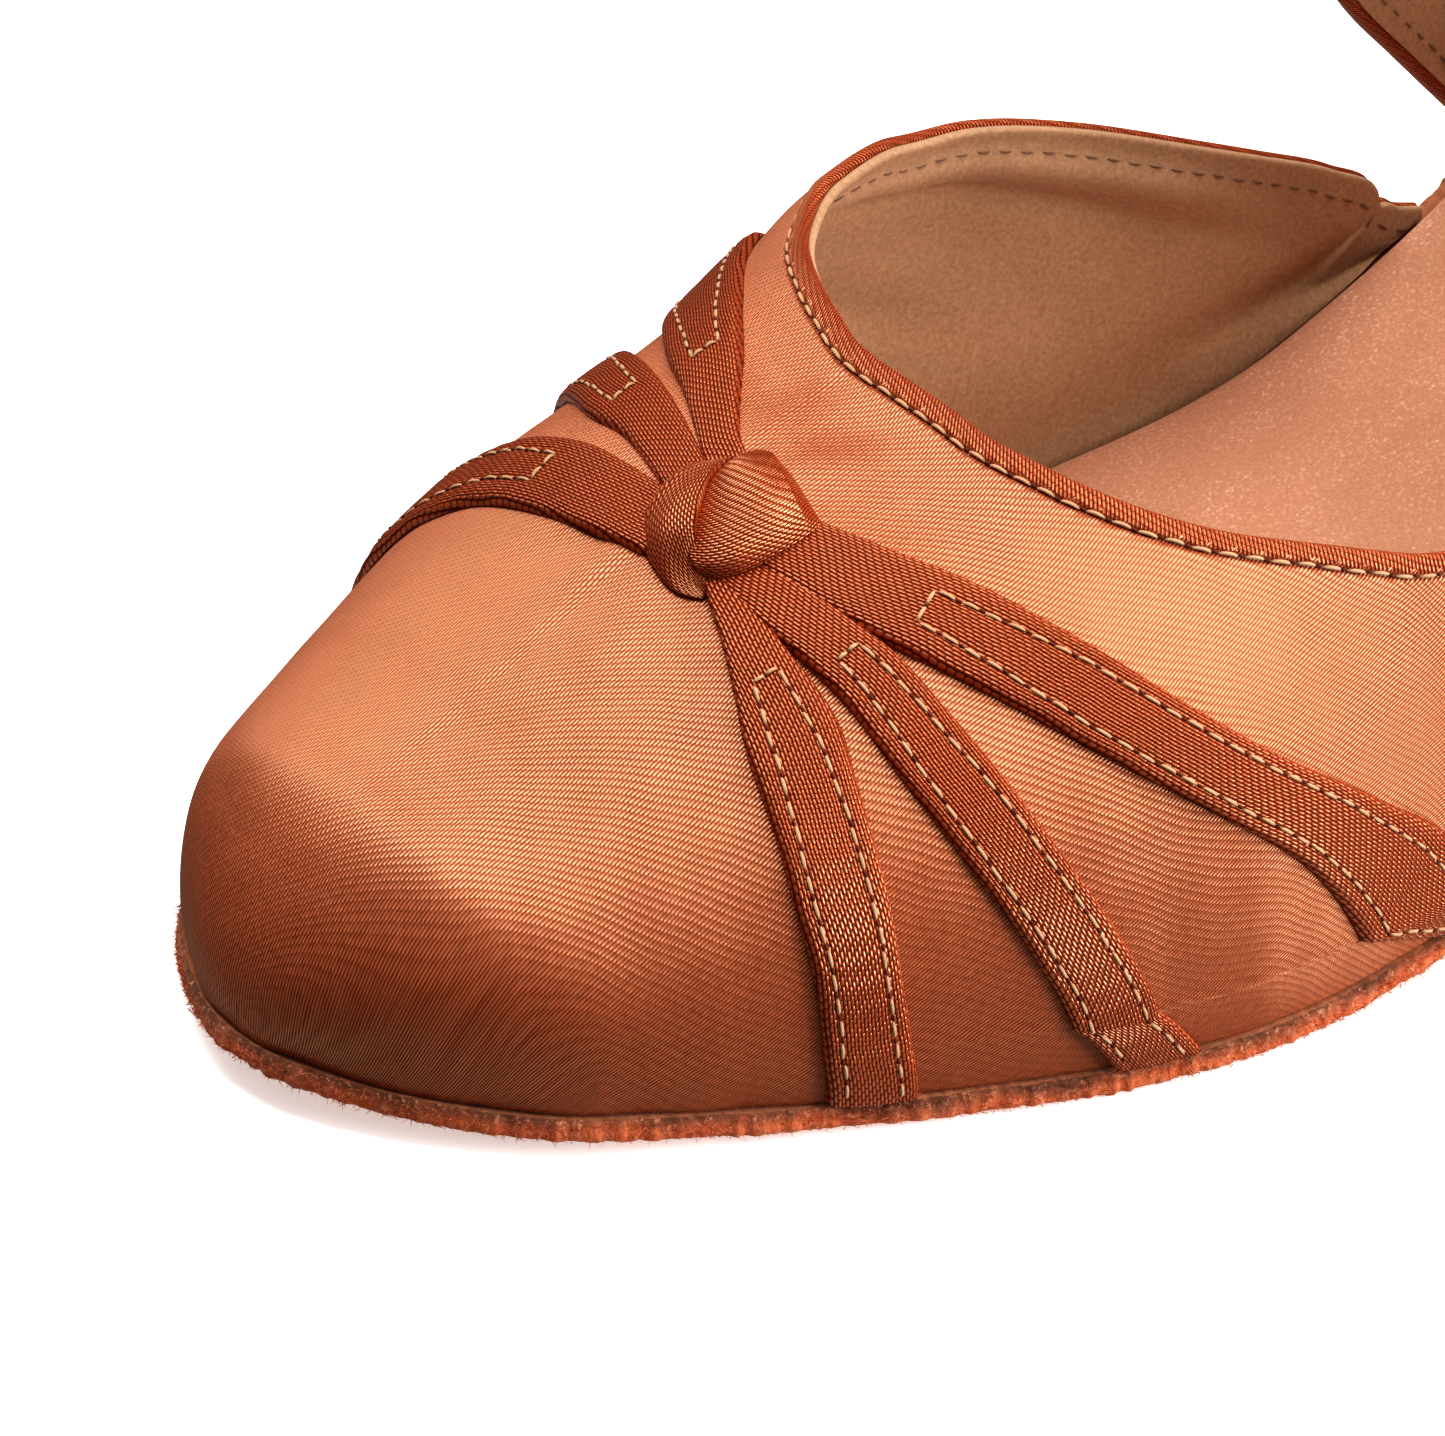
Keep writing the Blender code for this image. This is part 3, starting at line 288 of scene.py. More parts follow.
def offset_outline(side, distance):
    """Plan outline of one side moved outwards by a distance: station and y columns."""
    at = np.concatenate([np.linspace(0, 1, 90) ** 2 * 30, np.linspace(30.5, LENGTH - 30, 160),
                         LENGTH - np.linspace(1, 0, 90) ** 2 * 29])
    inner, outer = halves(at)
    y = inner if side > 0 else -outer
    line = np.stack([at, y], -1)
    tangent = np.gradient(line, axis=0)
    tangent /= np.linalg.norm(tangent, axis=1, keepdims=True) + 1e-12
    normal = np.stack([-tangent[:, 1], tangent[:, 0]], -1) * side
    moved = line + normal * distance
    centre = TOE_SKEW * np.clip(1 - np.clip(moved[:, 0], 0, None) / TOE_RUN, 0, 1) ** 1.5
    keep = side * (moved[:, 1] - centre) > 0
    moved = moved[keep]
    order = np.argsort(moved[:, 0])
    return moved[order]


def seat_line():
    at = np.concatenate([LENGTH - np.linspace(0, 1, 160) ** 2 * 60, np.linspace(LENGTH - 60.5, 0.54 * LENGTH, 60)])
    return at


def angle_at(station, height, side):
    """Angle round the section where the last is a height above its feather line."""
    share = station / LENGTH
    high = smooth(HEIGHT, 1, share) * INSTEP
    square = np.where(side < 0, 0.0, smooth(HEIGHT, 3, share))
    knee = LOW_SHARE * np.pi / 2
    up = np.clip((height - LOW_WALL) / (high - LOW_WALL), 0, 1) ** (1 / (SQUARE_TOP - square))
    turn = np.where(height < LOW_WALL, knee * height / LOW_WALL,
                    knee + np.arcsin(up) / (np.pi / 2) * (np.pi / 2 - knee))
    return np.where(side < 0, turn, np.pi - turn)


def counter_point(across, height):
    """across: distance round the seat from the back middle in mm, outer side negative."""
    at = seat_line()
    inner, outer = halves(at)
    reach = []
    for half in (outer, inner):
        line = np.stack([at, half], -1)
        reach.append(np.concatenate([[0], np.cumsum(np.linalg.norm(np.diff(line, axis=0), axis=1))]))
    distance = np.abs(across)
    side = np.where(across < 0, -1.0, 1.0)
    station = np.where(across < 0, np.interp(distance, reach[0], at), np.interp(distance, reach[1], at))
    point = section(station, angle_at(station, height, side))
    end = round_end(LENGTH - station, HEEL_ROUND)
    point[..., 1] *= np.where(end < 0.02, 0, 1)
    point[..., 0] += smooth(BACK_CURVE, 1, height / INSTEP) * np.clip(1 - (LENGTH - station) / BACK_RUN, 0, 1) ** 1.4
    return point


def across_of(station, side):
    at = seat_line()
    inner, outer = halves(at)
    half = outer if side < 0 else inner
    line = np.stack([at, half], -1)
    reach = np.concatenate([[0], np.cumsum(np.linalg.norm(np.diff(line, axis=0), axis=1))])
    return side * np.interp(-np.asarray(station, float), -at, reach)


def counter_skin(flat):
    return counter_point(flat[..., 0], flat[..., 1])


def counter_out(flat):
    e = EDGE_STEP
    du = counter_skin(flat + [e, 0]) - counter_skin(flat - [e, 0])
    mid = np.stack([flat[..., 0], np.clip(flat[..., 1], e, None)], -1)
    dv = counter_skin(mid + [0, e]) - counter_skin(mid - [0, e])
    n = np.cross(du, dv)
    n /= np.linalg.norm(n, axis=-1, keepdims=True) + 1e-12
    p = counter_skin(flat)
    away = p - np.array([0.856 * LENGTH, 0.0, 0.0])
    away[..., 2] = 0
    return n * np.sign((n * away).sum(-1, keepdims=True))


def heel_ring(front, back, half, count=24):
    """D shape in plan, flat at the breast."""
    points = []
    flat_share = 0.30
    flat = int(count * flat_share)
    for i in range(flat):
        t = i / flat
        points.append((front, -half * 0.86 + 2 * half * 0.86 * t))
    arc = count - flat
    depth = back - front
    for i in range(arc):
        t = i / arc
        a = math.pi * t
        points.append((front + depth * math.sin(a) ** 0.92 * 1.0 if t > 0 else front,
                       half * (math.cos(a) * (1 - 0.14 * abs(math.cos(a)) ** 6))))
    return np.array(points)


def seat_ring(count=24):
    """The feather line behind the breast, in the same order as a heel ring."""
    margin = SOLE_RIM - 0.2
    sides = [offset_outline(-1, margin), offset_outline(1, margin)]
    front = BREAST
    flat = int(count * 0.30)
    y0 = np.interp(front, sides[0][:, 0], sides[0][:, 1])
    y1 = np.interp(front, sides[1][:, 0], sides[1][:, 1])
    points = [(front, y0 + (y1 - y0) * i / flat) for i in range(flat)]
    inner = sides[1][sides[1][:, 0] > front]
    outer = sides[0][sides[0][:, 0] > front]
    line = np.concatenate([[[front, y1]], inner, outer[::-1], [[front, y0]]])
    arc = resample(line, count - flat + 1)[:-1]
    return np.concatenate([np.array(points), arc])


def strap_line():
    flats = []
    for kind, station, value in STRAP_PATH:
        if kind == "angle":
            flats.append(chart(station * LENGTH, value))
        else:
            side = 1.0 if kind == "inner" else -1.0
            turn = float(angle_at(station * LENGTH, value * INSTEP, side))
            flats.append(chart(station * LENGTH, math.degrees(turn)))
    flats = np.array(flats)
    space = skin(flats)
    along = np.concatenate([[0], np.cumsum(np.linalg.norm(np.diff(space, axis=0), axis=1))])
    keyed = [(a, f[0], f[1]) for a, f in zip(along, flats)]
    return along[-1], along, keyed


def strap_frame(keyed, at):
    """Chart point, surface point, travel, across and out directions at a distance along the strap."""
    def flat_at(t):
        return np.array([float(smooth(keyed, 1, t)), float(smooth(keyed, 2, t))])
    flat = flat_at(at)
    step = 0.4
    travel = skin(flat_at(at + step)) - skin(flat_at(at - step))
    travel /= np.linalg.norm(travel)
    out = skin_out(flat)
    across = np.cross(out, travel)
    across /= np.linalg.norm(across)
    return flat, skin(flat), travel, across, out


# Camera: the photograph's view, long lens, aimed through the middle of the frame
PHOTO_WIDE, PHOTO_HIGH = 1445, 1436
CAMERA_AZIMUTH, CAMERA_ELEVATION, CAMERA_ROLL = -42.13, 29.85, 3.59
CAMERA_DISTANCE = 985.0
FIT_POINT = np.array([60.0, 0.0, 20.0])
FIT_PIXEL = (819.6, 666.2)
FIT_SCALE = 11.94               # pixels per millimetre at the fit point
SENSOR = 36.0


def camera_axes():
    a, e, r = (math.radians(v) for v in (CAMERA_AZIMUTH, CAMERA_ELEVATION, CAMERA_ROLL))
    back = np.array([math.sin(a) * math.cos(e), -math.cos(a) * math.cos(e), math.sin(e)])
    right = np.array([math.cos(a), math.sin(a), 0.0])
    up = np.cross(back, right)
    return math.cos(r) * right + math.sin(r) * up, math.cos(r) * up - math.sin(r) * right, back


def to_frame(points):
    """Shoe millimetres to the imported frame's metres."""
    out = np.array(points, float)
    out[..., 0] -= TREAD_STATION
    return out * MM


def make_camera():
    right, up, back = camera_axes()
    focal = FIT_SCALE * CAMERA_DISTANCE
    place = to_frame(FIT_POINT) + back * CAMERA_DISTANCE * MM
    middle = (-back * focal - right * (FIT_PIXEL[0] - PHOTO_WIDE / 2)
              - up * (PHOTO_HIGH / 2 - FIT_PIXEL[1]))
    behind = -middle / np.linalg.norm(middle)
    side = right - behind * float(right @ behind)
    side /= np.linalg.norm(side)
    data = bpy.data.cameras.new("camera")
    data.sensor_width = SENSOR
    data.lens = focal * SENSOR / PHOTO_WIDE
    data.clip_start, data.clip_end = 0.05, 20.0
    item = bpy.data.objects.new("camera", data)
    turn = Matrix(np.stack([side, np.cross(behind, side), behind], 1).tolist()).to_4x4()
    item.matrix_world = Matrix.Translation(Vector(place)) @ turn
    bpy.context.scene.collection.objects.link(item)
    bpy.context.scene.camera = item


# Mesh helpers
def add_piece(name, points, faces, uv=None, material=None, replaced=()):
    """One mesh in the frame. uv is one pair for each point, in millimetres along and across the cloth."""
    mesh = bpy.data.meshes.new(name)
    mesh.from_pydata([tuple(p) for p in to_frame(points)], [], [tuple(int(i) for i in f) for f in faces])
    mesh.update()
    if uv is not None:
        layer = mesh.uv_layers.new(name="cloth")
        index = np.empty(len(mesh.loops), np.int32)
        mesh.loops.foreach_get("vertex_index", index)
        layer.data.foreach_set("uv", np.asarray(uv, np.float32)[index].ravel())
    mesh.shade_smooth()
    for one in material if isinstance(material, (list, tuple)) else [material]:
        mesh.materials.append(one)
    item = bpy.data.objects.new(name, mesh)
    bpy.context.scene.collection.objects.link(item)
    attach(item, "root")
    if replaced:
        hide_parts(*replaced)
    return item


def quad_faces(rows, columns, start=0, wrap=False, flip=False):
    i = np.arange(rows - 1)[:, None]
    j = np.arange(columns if wrap else columns - 1)[None, :]
    k = (j + 1) % columns
    a, b = start + i * columns + j, start + i * columns + k
    c, d = start + (i + 1) * columns + k, start + (i + 1) * columns + j
    quads = np.stack([a, b, c, d], -1).reshape(-1, 4)
    return (quads[:, ::-1] if flip else quads).tolist()


def add_grid(name, grid, uv, material, replaced=(), wrap=False, flip=False):
    rows, columns = grid.shape[:2]
    return add_piece(name, grid.reshape(-1, 3), quad_faces(rows, columns, 0, wrap, flip), uv.reshape(-1, 2),
                     material, replaced)


def unit(v):
    return v / (np.linalg.norm(v, axis=-1, keepdims=True) + 1e-12)


def run_length(points, axis=0):
    """Distance along a grid's rows or columns from its first line."""
    step = np.linalg.norm(np.diff(points, axis=axis), axis=-1)
    zero = np.zeros_like(np.take(step, [0], axis=axis))
    return np.concatenate([zero, np.cumsum(step, axis=axis)], axis=axis)


def soft_noise(points, size, seed):
    """Smooth seeded noise from -1 to 1 made of waves in many directions."""
    rng = np.random.default_rng(seed)
    total = np.zeros(points.shape[:-1])
    for _ in range(9):
        direction = unit(rng.normal(size=points.shape[-1]))
        wave = 2 * math.pi / (size * rng.uniform(0.7, 1.6))
        total += np.sin(points @ direction * wave + rng.uniform(0, 2 * math.pi))
    return total / 4.2


def bell(x, middle, width):
    return np.exp(-((x - middle) / width) ** 2)


def ease(x, low, high):
    t = np.clip((x - low) / (high - low), 0, 1)
    return t * t * (3 - 2 * t)


# Materials
WEAVE_PITCH = 0.30             # one float's width
WEAVE_FLOAT = 0.78              # one float's length
WEAVE_STEP = 0.4                # shift of each next float, as a share of its length
THREAD = (0.84, 0.50, 0.27)


def new_material(name):
    material = bpy.data.materials.new(name)
    material.use_nodes = True
    tree = material.node_tree
    shader = tree.nodes["Principled BSDF"]
    return material, tree, shader


def calc(tree, operation, a, b=None):
    node = tree.nodes.new("ShaderNodeMath")
    node.operation = operation
    for i, value in enumerate((a, b)):
        if value is None:
            continue
        if isinstance(value, (int, float)):
            node.inputs[i].default_value = value
        else:
            tree.links.new(value, node.inputs[i])
    return node.outputs[0]


def noise(tree, vector, scale, detail=2.0, roughness=0.5):
    node = tree.nodes.new("ShaderNodeTexNoise")
    node.inputs["Scale"].default_value = scale
    node.inputs["Detail"].default_value = detail
    node.inputs["Roughness"].default_value = roughness
    tree.links.new(vector, node.inputs["Vector"])
    return node.outputs[0]


def object_place(tree):
    return tree.nodes.new("ShaderNodeTexCoord").outputs["Object"]


def ramp(tree, value, stops):
    node = tree.nodes.new("ShaderNodeValToRGB")
    while len(node.color_ramp.elements) < len(stops):
        node.color_ramp.elements.new(0.5)
    for element, (place, colour) in zip(node.color_ramp.elements, stops):
        element.position = place
        element.color = (*colour, 1.0)
    tree.links.new(value, node.inputs[0])
    return node.outputs[0]


def blend_colour(tree, factor, a, b, kind="MIX"):
    node = tree.nodes.new("ShaderNodeMix")
    node.data_type = "RGBA"
    node.blend_type = kind
    for socket, value in ((0, factor), (6, a), (7, b)):
        if isinstance(value, (int, float)):
            node.inputs[socket].default_value = value
        elif isinstance(value, tuple):
            node.inputs[socket].default_value = (*value, 1.0)
        else:
            tree.links.new(value, node.inputs[socket])
    return node.outputs[2]


def bump(tree, shader, height, distance, strength):
    node = tree.nodes.new("ShaderNodeBump")
    node.inputs["Distance"].default_value = distance
    node.inputs["Strength"].default_value = strength
    tree.links.new(height, node.inputs["Height"])
    tree.links.new(node.outputs[0], shader.inputs["Normal"])


def weave_height(tree, turn=0.0, scale=1.0, ends=0.45):
    """Height of satin floats from the cloth coordinates: staggered raised dashes along the first one."""
    coordinates = tree.nodes.new("ShaderNodeUVMap")
    coordinates.uv_map = "cloth"
    split = tree.nodes.new("ShaderNodeSeparateXYZ")
    tree.links.new(coordinates.outputs[0], split.inputs[0])
    u, v = split.outputs[0], split.outputs[1]
    if turn:
        c, s = math.cos(turn), math.sin(turn)
        u, v = (calc(tree, "ADD", calc(tree, "MULTIPLY", u, c), calc(tree, "MULTIPLY", v, s)),
                calc(tree, "SUBTRACT", calc(tree, "MULTIPLY", v, c), calc(tree, "MULTIPLY", u, s)))
    wander = noise(tree, coordinates.outputs[0], 0.12, 1.0)
    v = calc(tree, "ADD", v, calc(tree, "MULTIPLY", calc(tree, "SUBTRACT", wander, 0.5), 0.7))
    row = calc(tree, "DIVIDE", v, WEAVE_PITCH * scale)
    lane = calc(tree, "FLOOR", row)
    across = calc(tree, "SINE", calc(tree, "MULTIPLY", calc(tree, "FRACT", row), math.pi))
    step = calc(tree, "MULTIPLY", lane, WEAVE_STEP)
    along = calc(tree, "FRACT", calc(tree, "ADD", calc(tree, "DIVIDE", u, WEAVE_FLOAT * scale), step))
    offset = calc(tree, "ABSOLUTE", calc(tree, "SUBTRACT", calc(tree, "MULTIPLY", along, 2.0), 1.0))
    crown = calc(tree, "SUBTRACT", 1.0, calc(tree, "POWER", offset, 2.5))
    body = calc(tree, "ADD", calc(tree, "MULTIPLY", crown, ends), 1.0 - ends)
    return calc(tree, "MULTIPLY", calc(tree, "POWER", across, 0.8), body), coordinates.outputs[0]


def satin(name, light, dark, gloss, depth=1.0, turn=0.0, scale=1.0, ends=0.45,
          pale=(1.0, 0.86, 0.56), deep=(0.66, 0.24, 0.10), ior=1.85):
    """Deep red-brown cloth whose raised floats catch the light in a paler orange, with painted shade in the gaps
    between floats.
    """
    material, tree, shader = new_material(name)
    height, cloth = weave_height(tree, turn, scale, ends)
    place = object_place(tree)
    patch_tone = noise(tree, place, 55.0, 3.0)
    yarn = noise(tree, cloth, 1.7, 2.0)
    # colour by float height: the cloth's own colour on the float crowns, painted shade down in the gaps between floats
    colour = ramp(tree, height, ((0.18, dark), (0.66, light)))
    tone = calc(tree, "ADD", calc(tree, "MULTIPLY", patch_tone, 0.25), calc(tree, "MULTIPLY", yarn, 0.55))
    shade = blend_colour(tree, 1.0, colour, ramp(tree, tone, ((0.22, (0.62, 0.52, 0.46)), (0.55, (1.0, 1.0, 1.0)))),
                         "MULTIPLY")
    tree.links.new(shade, shader.inputs["Base Color"])
    rough = calc(tree, "ADD", calc(tree, "MULTIPLY", yarn, 0.16), gloss + 0.10)
    rough = calc(tree, "SUBTRACT", rough, calc(tree, "MULTIPLY", height, 0.22))
    tree.links.new(rough, shader.inputs["Roughness"])
    shader.inputs["Metallic"].default_value = 0.12
    shader.inputs["IOR"].default_value = ior
    shader.inputs["Specular IOR Level"].default_value = 1.0
    gleam = ramp(tree, height, ((0.25, deep), (0.75, pale)))
    tree.links.new(gleam, shader.inputs["Specular Tint"])
    shader.inputs["Anisotropic"].default_value = 0.5
    shader.inputs["Anisotropic Rotation"].default_value = 0.25
    shader.inputs["Sheen Weight"].default_value = 0.06
    shader.inputs["Sheen Tint"].default_value = (1.0, 0.62, 0.38, 1.0)
    tangent = tree.nodes.new("ShaderNodeTangent")
    tangent.direction_type = "UV_MAP"
    tangent.uv_map = "cloth"
    tree.links.new(tangent.outputs[0], shader.inputs["Tangent"])
    bump(tree, shader, height, 0.0001 * depth, 0.9)
    return material


def suede(name, stops, grain, depth, sheen=0.5, tint=(1.0, 0.8, 0.65)):
    """Brushed nap: short fibre noise at two sizes with soft brushed patches."""
    material, tree, shader = new_material(name)
    place = object_place(tree)
    nap = noise(tree, place, grain, 4.0, 0.65)
    patch_tone = noise(tree, place, grain * 0.05, 3.0)
    mix = calc(tree, "ADD", calc(tree, "MULTIPLY", nap, 0.8), calc(tree, "MULTIPLY", patch_tone, 0.2))
    tree.links.new(ramp(tree, mix, stops), shader.inputs["Base Color"])
    shader.inputs["Roughness"].default_value = 0.95
    shader.inputs["Specular IOR Level"].default_value = 0.15
    shader.inputs["Sheen Weight"].default_value = sheen
    shader.inputs["Sheen Roughness"].default_value = 0.55
    shader.inputs["Sheen Tint"].default_value = (*tint, 1.0)
    bump(tree, shader, nap, depth, 0.7)
    return material


def sole_edge_material():
    """Raw suede edge: rust below, darker towards the top, pale stray fibres."""
    material, tree, shader = new_material("sole_edge_suede")
    coordinates = tree.nodes.new("ShaderNodeUVMap")
    coordinates.uv_map = "cloth"
    split = tree.nodes.new("ShaderNodeSeparateXYZ")
    tree.links.new(coordinates.outputs[0], split.inputs[0])
    place = object_place(tree)
    drift = calc(tree, "MULTIPLY", calc(tree, "SUBTRACT", noise(tree, place, 180.0, 4.0), 0.5), 1.3)
    level = calc(tree, "ADD", split.outputs[1], drift)
    bands = ramp(tree, level, ((0.35, (0.66, 0.17, 0.065)), (0.62, (0.42, 0.13, 0.06)), (0.95, (0.17, 0.06, 0.03))))
    fibres = noise(tree, place, 1500.0, 5.0, 0.7)
    colour = blend_colour(tree, ramp(tree, fibres, ((0.55, (0, 0, 0)), (0.72, (1, 1, 1)))), bands, (0.90, 0.44, 0.26))
    tree.links.new(colour, shader.inputs["Base Color"])
    shader.inputs["Roughness"].default_value = 0.95
    shader.inputs["Sheen Weight"].default_value = 0.4
    shader.inputs["Sheen Tint"].default_value = (1.0, 0.6, 0.4, 1.0)
    bump(tree, shader, fibres, 0.0003, 0.9)
    return material


def thread_material(name, colour):
    """Two-ply thread: diagonal twist along each stitch, with painted shade in the grooves between the plies."""
    material, tree, shader = new_material(name)
    coordinates = tree.nodes.new("ShaderNodeUVMap")
    coordinates.uv_map = "cloth"
    wave = tree.nodes.new("ShaderNodeTexWave")
    wave.wave_type = "BANDS"
    wave.bands_direction = "DIAGONAL"
    wave.inputs["Scale"].default_value = 1.1
    tree.links.new(coordinates.outputs[0], wave.inputs["Vector"])
    # a darker copy of the thread colour in the twist's grooves: painted shade between the plies
    low = tuple(c * 0.55 for c in colour)
    tree.links.new(ramp(tree, wave.outputs[1], ((0.1, low), (0.6, colour))), shader.inputs["Base Color"])
    shader.inputs["Roughness"].default_value = 0.5
    shader.inputs["Sheen Weight"].default_value = 0.2
    bump(tree, shader, wave.outputs[1], 0.00006, 0.6)
    return material


def plain_material(name, colour, roughness, metal=0.0, grain=900.0, depth=0.00003):
    material, tree, shader = new_material(name)
    place = object_place(tree)
    fine = noise(tree, place, grain, 4.0)
    low = tuple(c * 0.8 for c in colour)
    tree.links.new(ramp(tree, fine, ((0.3, low), (0.7, colour))), shader.inputs["Base Color"])
    shader.inputs["Roughness"].default_value = roughness
    shader.inputs["Metallic"].default_value = metal
    bump(tree, shader, fine, depth, 0.4)
    return material


# each cloth's colour on its float crowns, then the painted shade for the gaps between its floats
SATIN_LIGHT, SATIN_GAP_SHADE = (0.58, 0.130, 0.048), (0.10, 0.008, 0.003)
RIBBON_LIGHT, RIBBON_GAP_SHADE = (0.54, 0.090, 0.020), (0.07, 0.004, 0.001)
RIBBON_PALE, RIBBON_DEEP = (1.0, 0.72, 0.44), (0.34, 0.045, 0.01)
vamp_satin = satin("vamp_satin", SATIN_LIGHT, SATIN_GAP_SHADE, 0.42)
fold_satin = satin("fold_satin", RIBBON_LIGHT, RIBBON_GAP_SHADE, 0.38, 1.2, math.radians(55), 1.0, 0.6,
                   RIBBON_PALE, RIBBON_DEEP)
ribbon_satin = satin("ribbon_satin", RIBBON_LIGHT, RIBBON_GAP_SHADE, 0.33, 1.5, 0.0, 1.05, 0.75, RIBBON_PALE, RIBBON_DEEP, 1.95)
knot_satin = satin("knot_satin", RIBBON_LIGHT, RIBBON_GAP_SHADE, 0.29, 1.3, 0.0, 0.95, 0.7, RIBBON_PALE, RIBBON_DEEP, 2.2)
lining_suede = suede("lining_suede", ((0.30, (0.36, 0.20, 0.11)), (0.68, (0.53, 0.32, 0.19))), 2200.0, 0.00008, 0.25)
sock_suede = suede("sock_suede", ((0.36, (0.50, 0.235, 0.14)), (0.56, (0.58, 0.29, 0.18)), (0.70, (0.82, 0.52, 0.38))),
                   3000.0, 0.0001, 0.3)
sole_suede = suede("sole_suede", ((0.30, (0.22, 0.07, 0.03)), (0.70, (0.52, 0.19, 0.08))), 1000.0, 0.0002)
sole_edge = sole_edge_material()
pale_thread = thread_material("pale_thread", THREAD)
brown_thread = thread_material("brown_thread", (0.34, 0.18, 0.10))
# dark colour for the short tubes between stitches: painted shade standing in for the needle holes
needle_hole_shade = plain_material("needle_hole_shade", (0.16, 0.035, 0.013), 0.9)
tip_rubber = plain_material("tip_rubber", (0.05, 0.035, 0.028), 0.8)
buckle_metal = plain_material("buckle_metal", (0.80, 0.74, 0.66), 0.22, 1.0, 4000.0, 0.00001)


# Sewing: a dashed row of thread along a path on a surface
def sew(name, path, normal, pitch, dash, radius, material, first=0.0, sink=0.35, tilt=0.0, sides=6):
    """Each stitch is a thin tube that dives into the cloth at both ends."""
    length = run_length(path)
    across = unit(np.cross(normal, np.gradient(path, axis=0)))
    count = int((length[-1] - first) / pitch)
    points, faces, uv = [], [], []
    share = np.linspace(0, 1, 8)
    for k in range(count):
        start = first + k * pitch + (pitch - dash) / 2
        at = start + dash * share
        spine = np.stack([np.interp(at, length, path[:, i]) for i in range(3)], -1)
        out = unit(np.stack([np.interp(at, length, normal[:, i]) for i in range(3)], -1))
        side = unit(np.stack([np.interp(at, length, across[:, i]) for i in range(3)], -1))
        lift = radius * (0.55 * np.sin(math.pi * share) ** 0.5 - sink * (1 - np.sin(math.pi * share)))
        wobble = 0.05 * math.sin(k * 2.4) + tilt * (share - 0.5) * dash
        spine = spine + out * lift[:, None] + side * wobble[:, None] if np.ndim(wobble) else spine + out * lift[:, None]
        thick = radius * (0.55 + 0.45 * np.sin(math.pi * share) ** 0.4)
        base = len(points)
        for i in range(len(share)):
            for s in range(sides):
                a = 2 * math.pi * s / sides
                points.append(spine[i] + thick[i] * (side[i] * math.cos(a) + out[i] * math.sin(a) * 0.8))
                uv.append((at[i] * 3, 6.0 * s / sides))
        faces += quad_faces(len(share), sides, base, True)
        faces.append(tuple(range(base + sides - 1, base - 1, -1)))
        end = base + (len(share) - 1) * sides
        faces.append(tuple(range(end, end + sides)))
    return add_piece(name, np.array(points), faces, uv, material)


def sewn_row(name, path, normal, pitch, dash, radius, material, first=0.0, tilt=0.0):
    """A row of stitches with a short dark tube between each two, painted shade for the needle hole."""
    sew(name, path, normal, pitch, dash, radius, material, first, 0.35, tilt)
    # the dark tube between each two stitches is painted shade for the needle hole
    sew(name + "_hole_shade", path, normal, pitch, pitch - dash, radius * 0.8, needle_hole_shade,
        first + pitch / 2, 0.7)


def rolled_edge(name, edge, normal, off, thick, lift, material, reach=1.5, tuck=2.0):
    """Cloth folded over an edge: from just outside the surface round to its inner side."""
    turns = np.linspace(0, math.pi, 9)
    radius = thick / 2
    rows = [edge - off * reach + normal * (lift - 0.12)]
    rows += [edge - off * d + normal * (lift + 0.02) for d in np.linspace(reach - 0.15, 0.2, 4)]
    rows += [edge + off * radius * math.sin(t) + normal * (lift - radius * (1 - math.cos(t))) for t in turns]
    rows.append(edge - off * tuck + normal * (lift - thick))
    grid = np.array(rows)
    along = run_length(edge)
    around = np.concatenate([[-reach], -np.linspace(reach - 0.15, 0.2, 4), turns * radius,
                             [math.pi * radius + tuck]])
    uv = np.stack(np.broadcast_arrays(along[None, :], around[:, None]), -1)
    return add_grid(name, grid, uv, material)


# Vamp
TOP_ROWS_STEP = 0.13            # row spacing in the folded band at the topline
TOP_ROWS = 24
FOLD_WIDE = 1.75                # from the topline to its stitch line
FOLD_HIGH = 0.28
FOLD_THICK = 1.15
STITCH_PITCH = 2.3


def column_rows(bottom, top, surface, rows):
    """Chart grid whose last rows crowd at the top edge, and each point's distance below that edge."""
    share = np.linspace(0, 1, 200)[:, None, None]
    lines = bottom[None] + (top - bottom)[None] * share
    below = run_length(surface(lines)[::-1])[::-1]
    total = below[0]
    fine = np.arange(TOP_ROWS) * TOP_ROWS_STEP
    grid, depth = np.empty((rows, len(bottom), 2)), np.empty((rows, len(bottom)))
    for c in range(len(bottom)):
        coarse = np.linspace(total[c], fine[-1] + TOP_ROWS_STEP * 2, rows - TOP_ROWS)
        at = np.concatenate([coarse, fine[::-1]])
        where = np.interp(-at, -below[:, c], share[:, 0, 0])
        grid[:, c] = bottom[c] + (top[c] - bottom[c]) * where[:, None]
        depth[:, c] = at
    return grid, depth


def fold_profile(depth, along):
    """Raised folded band at a free edge, its stitch groove and the puckers that the stitches pull."""
    band = FOLD_HIGH * (1 - ease(depth, FOLD_WIDE - 0.35, FOLD_WIDE + 0.15))
    groove = -0.20 * bell(depth, FOLD_WIDE, 0.26)
    pucker = 0.05 * np.cos(2 * math.pi * along / STITCH_PITCH) * bell(depth, FOLD_WIDE + 0.1, 0.9)
    return band + groove + pucker


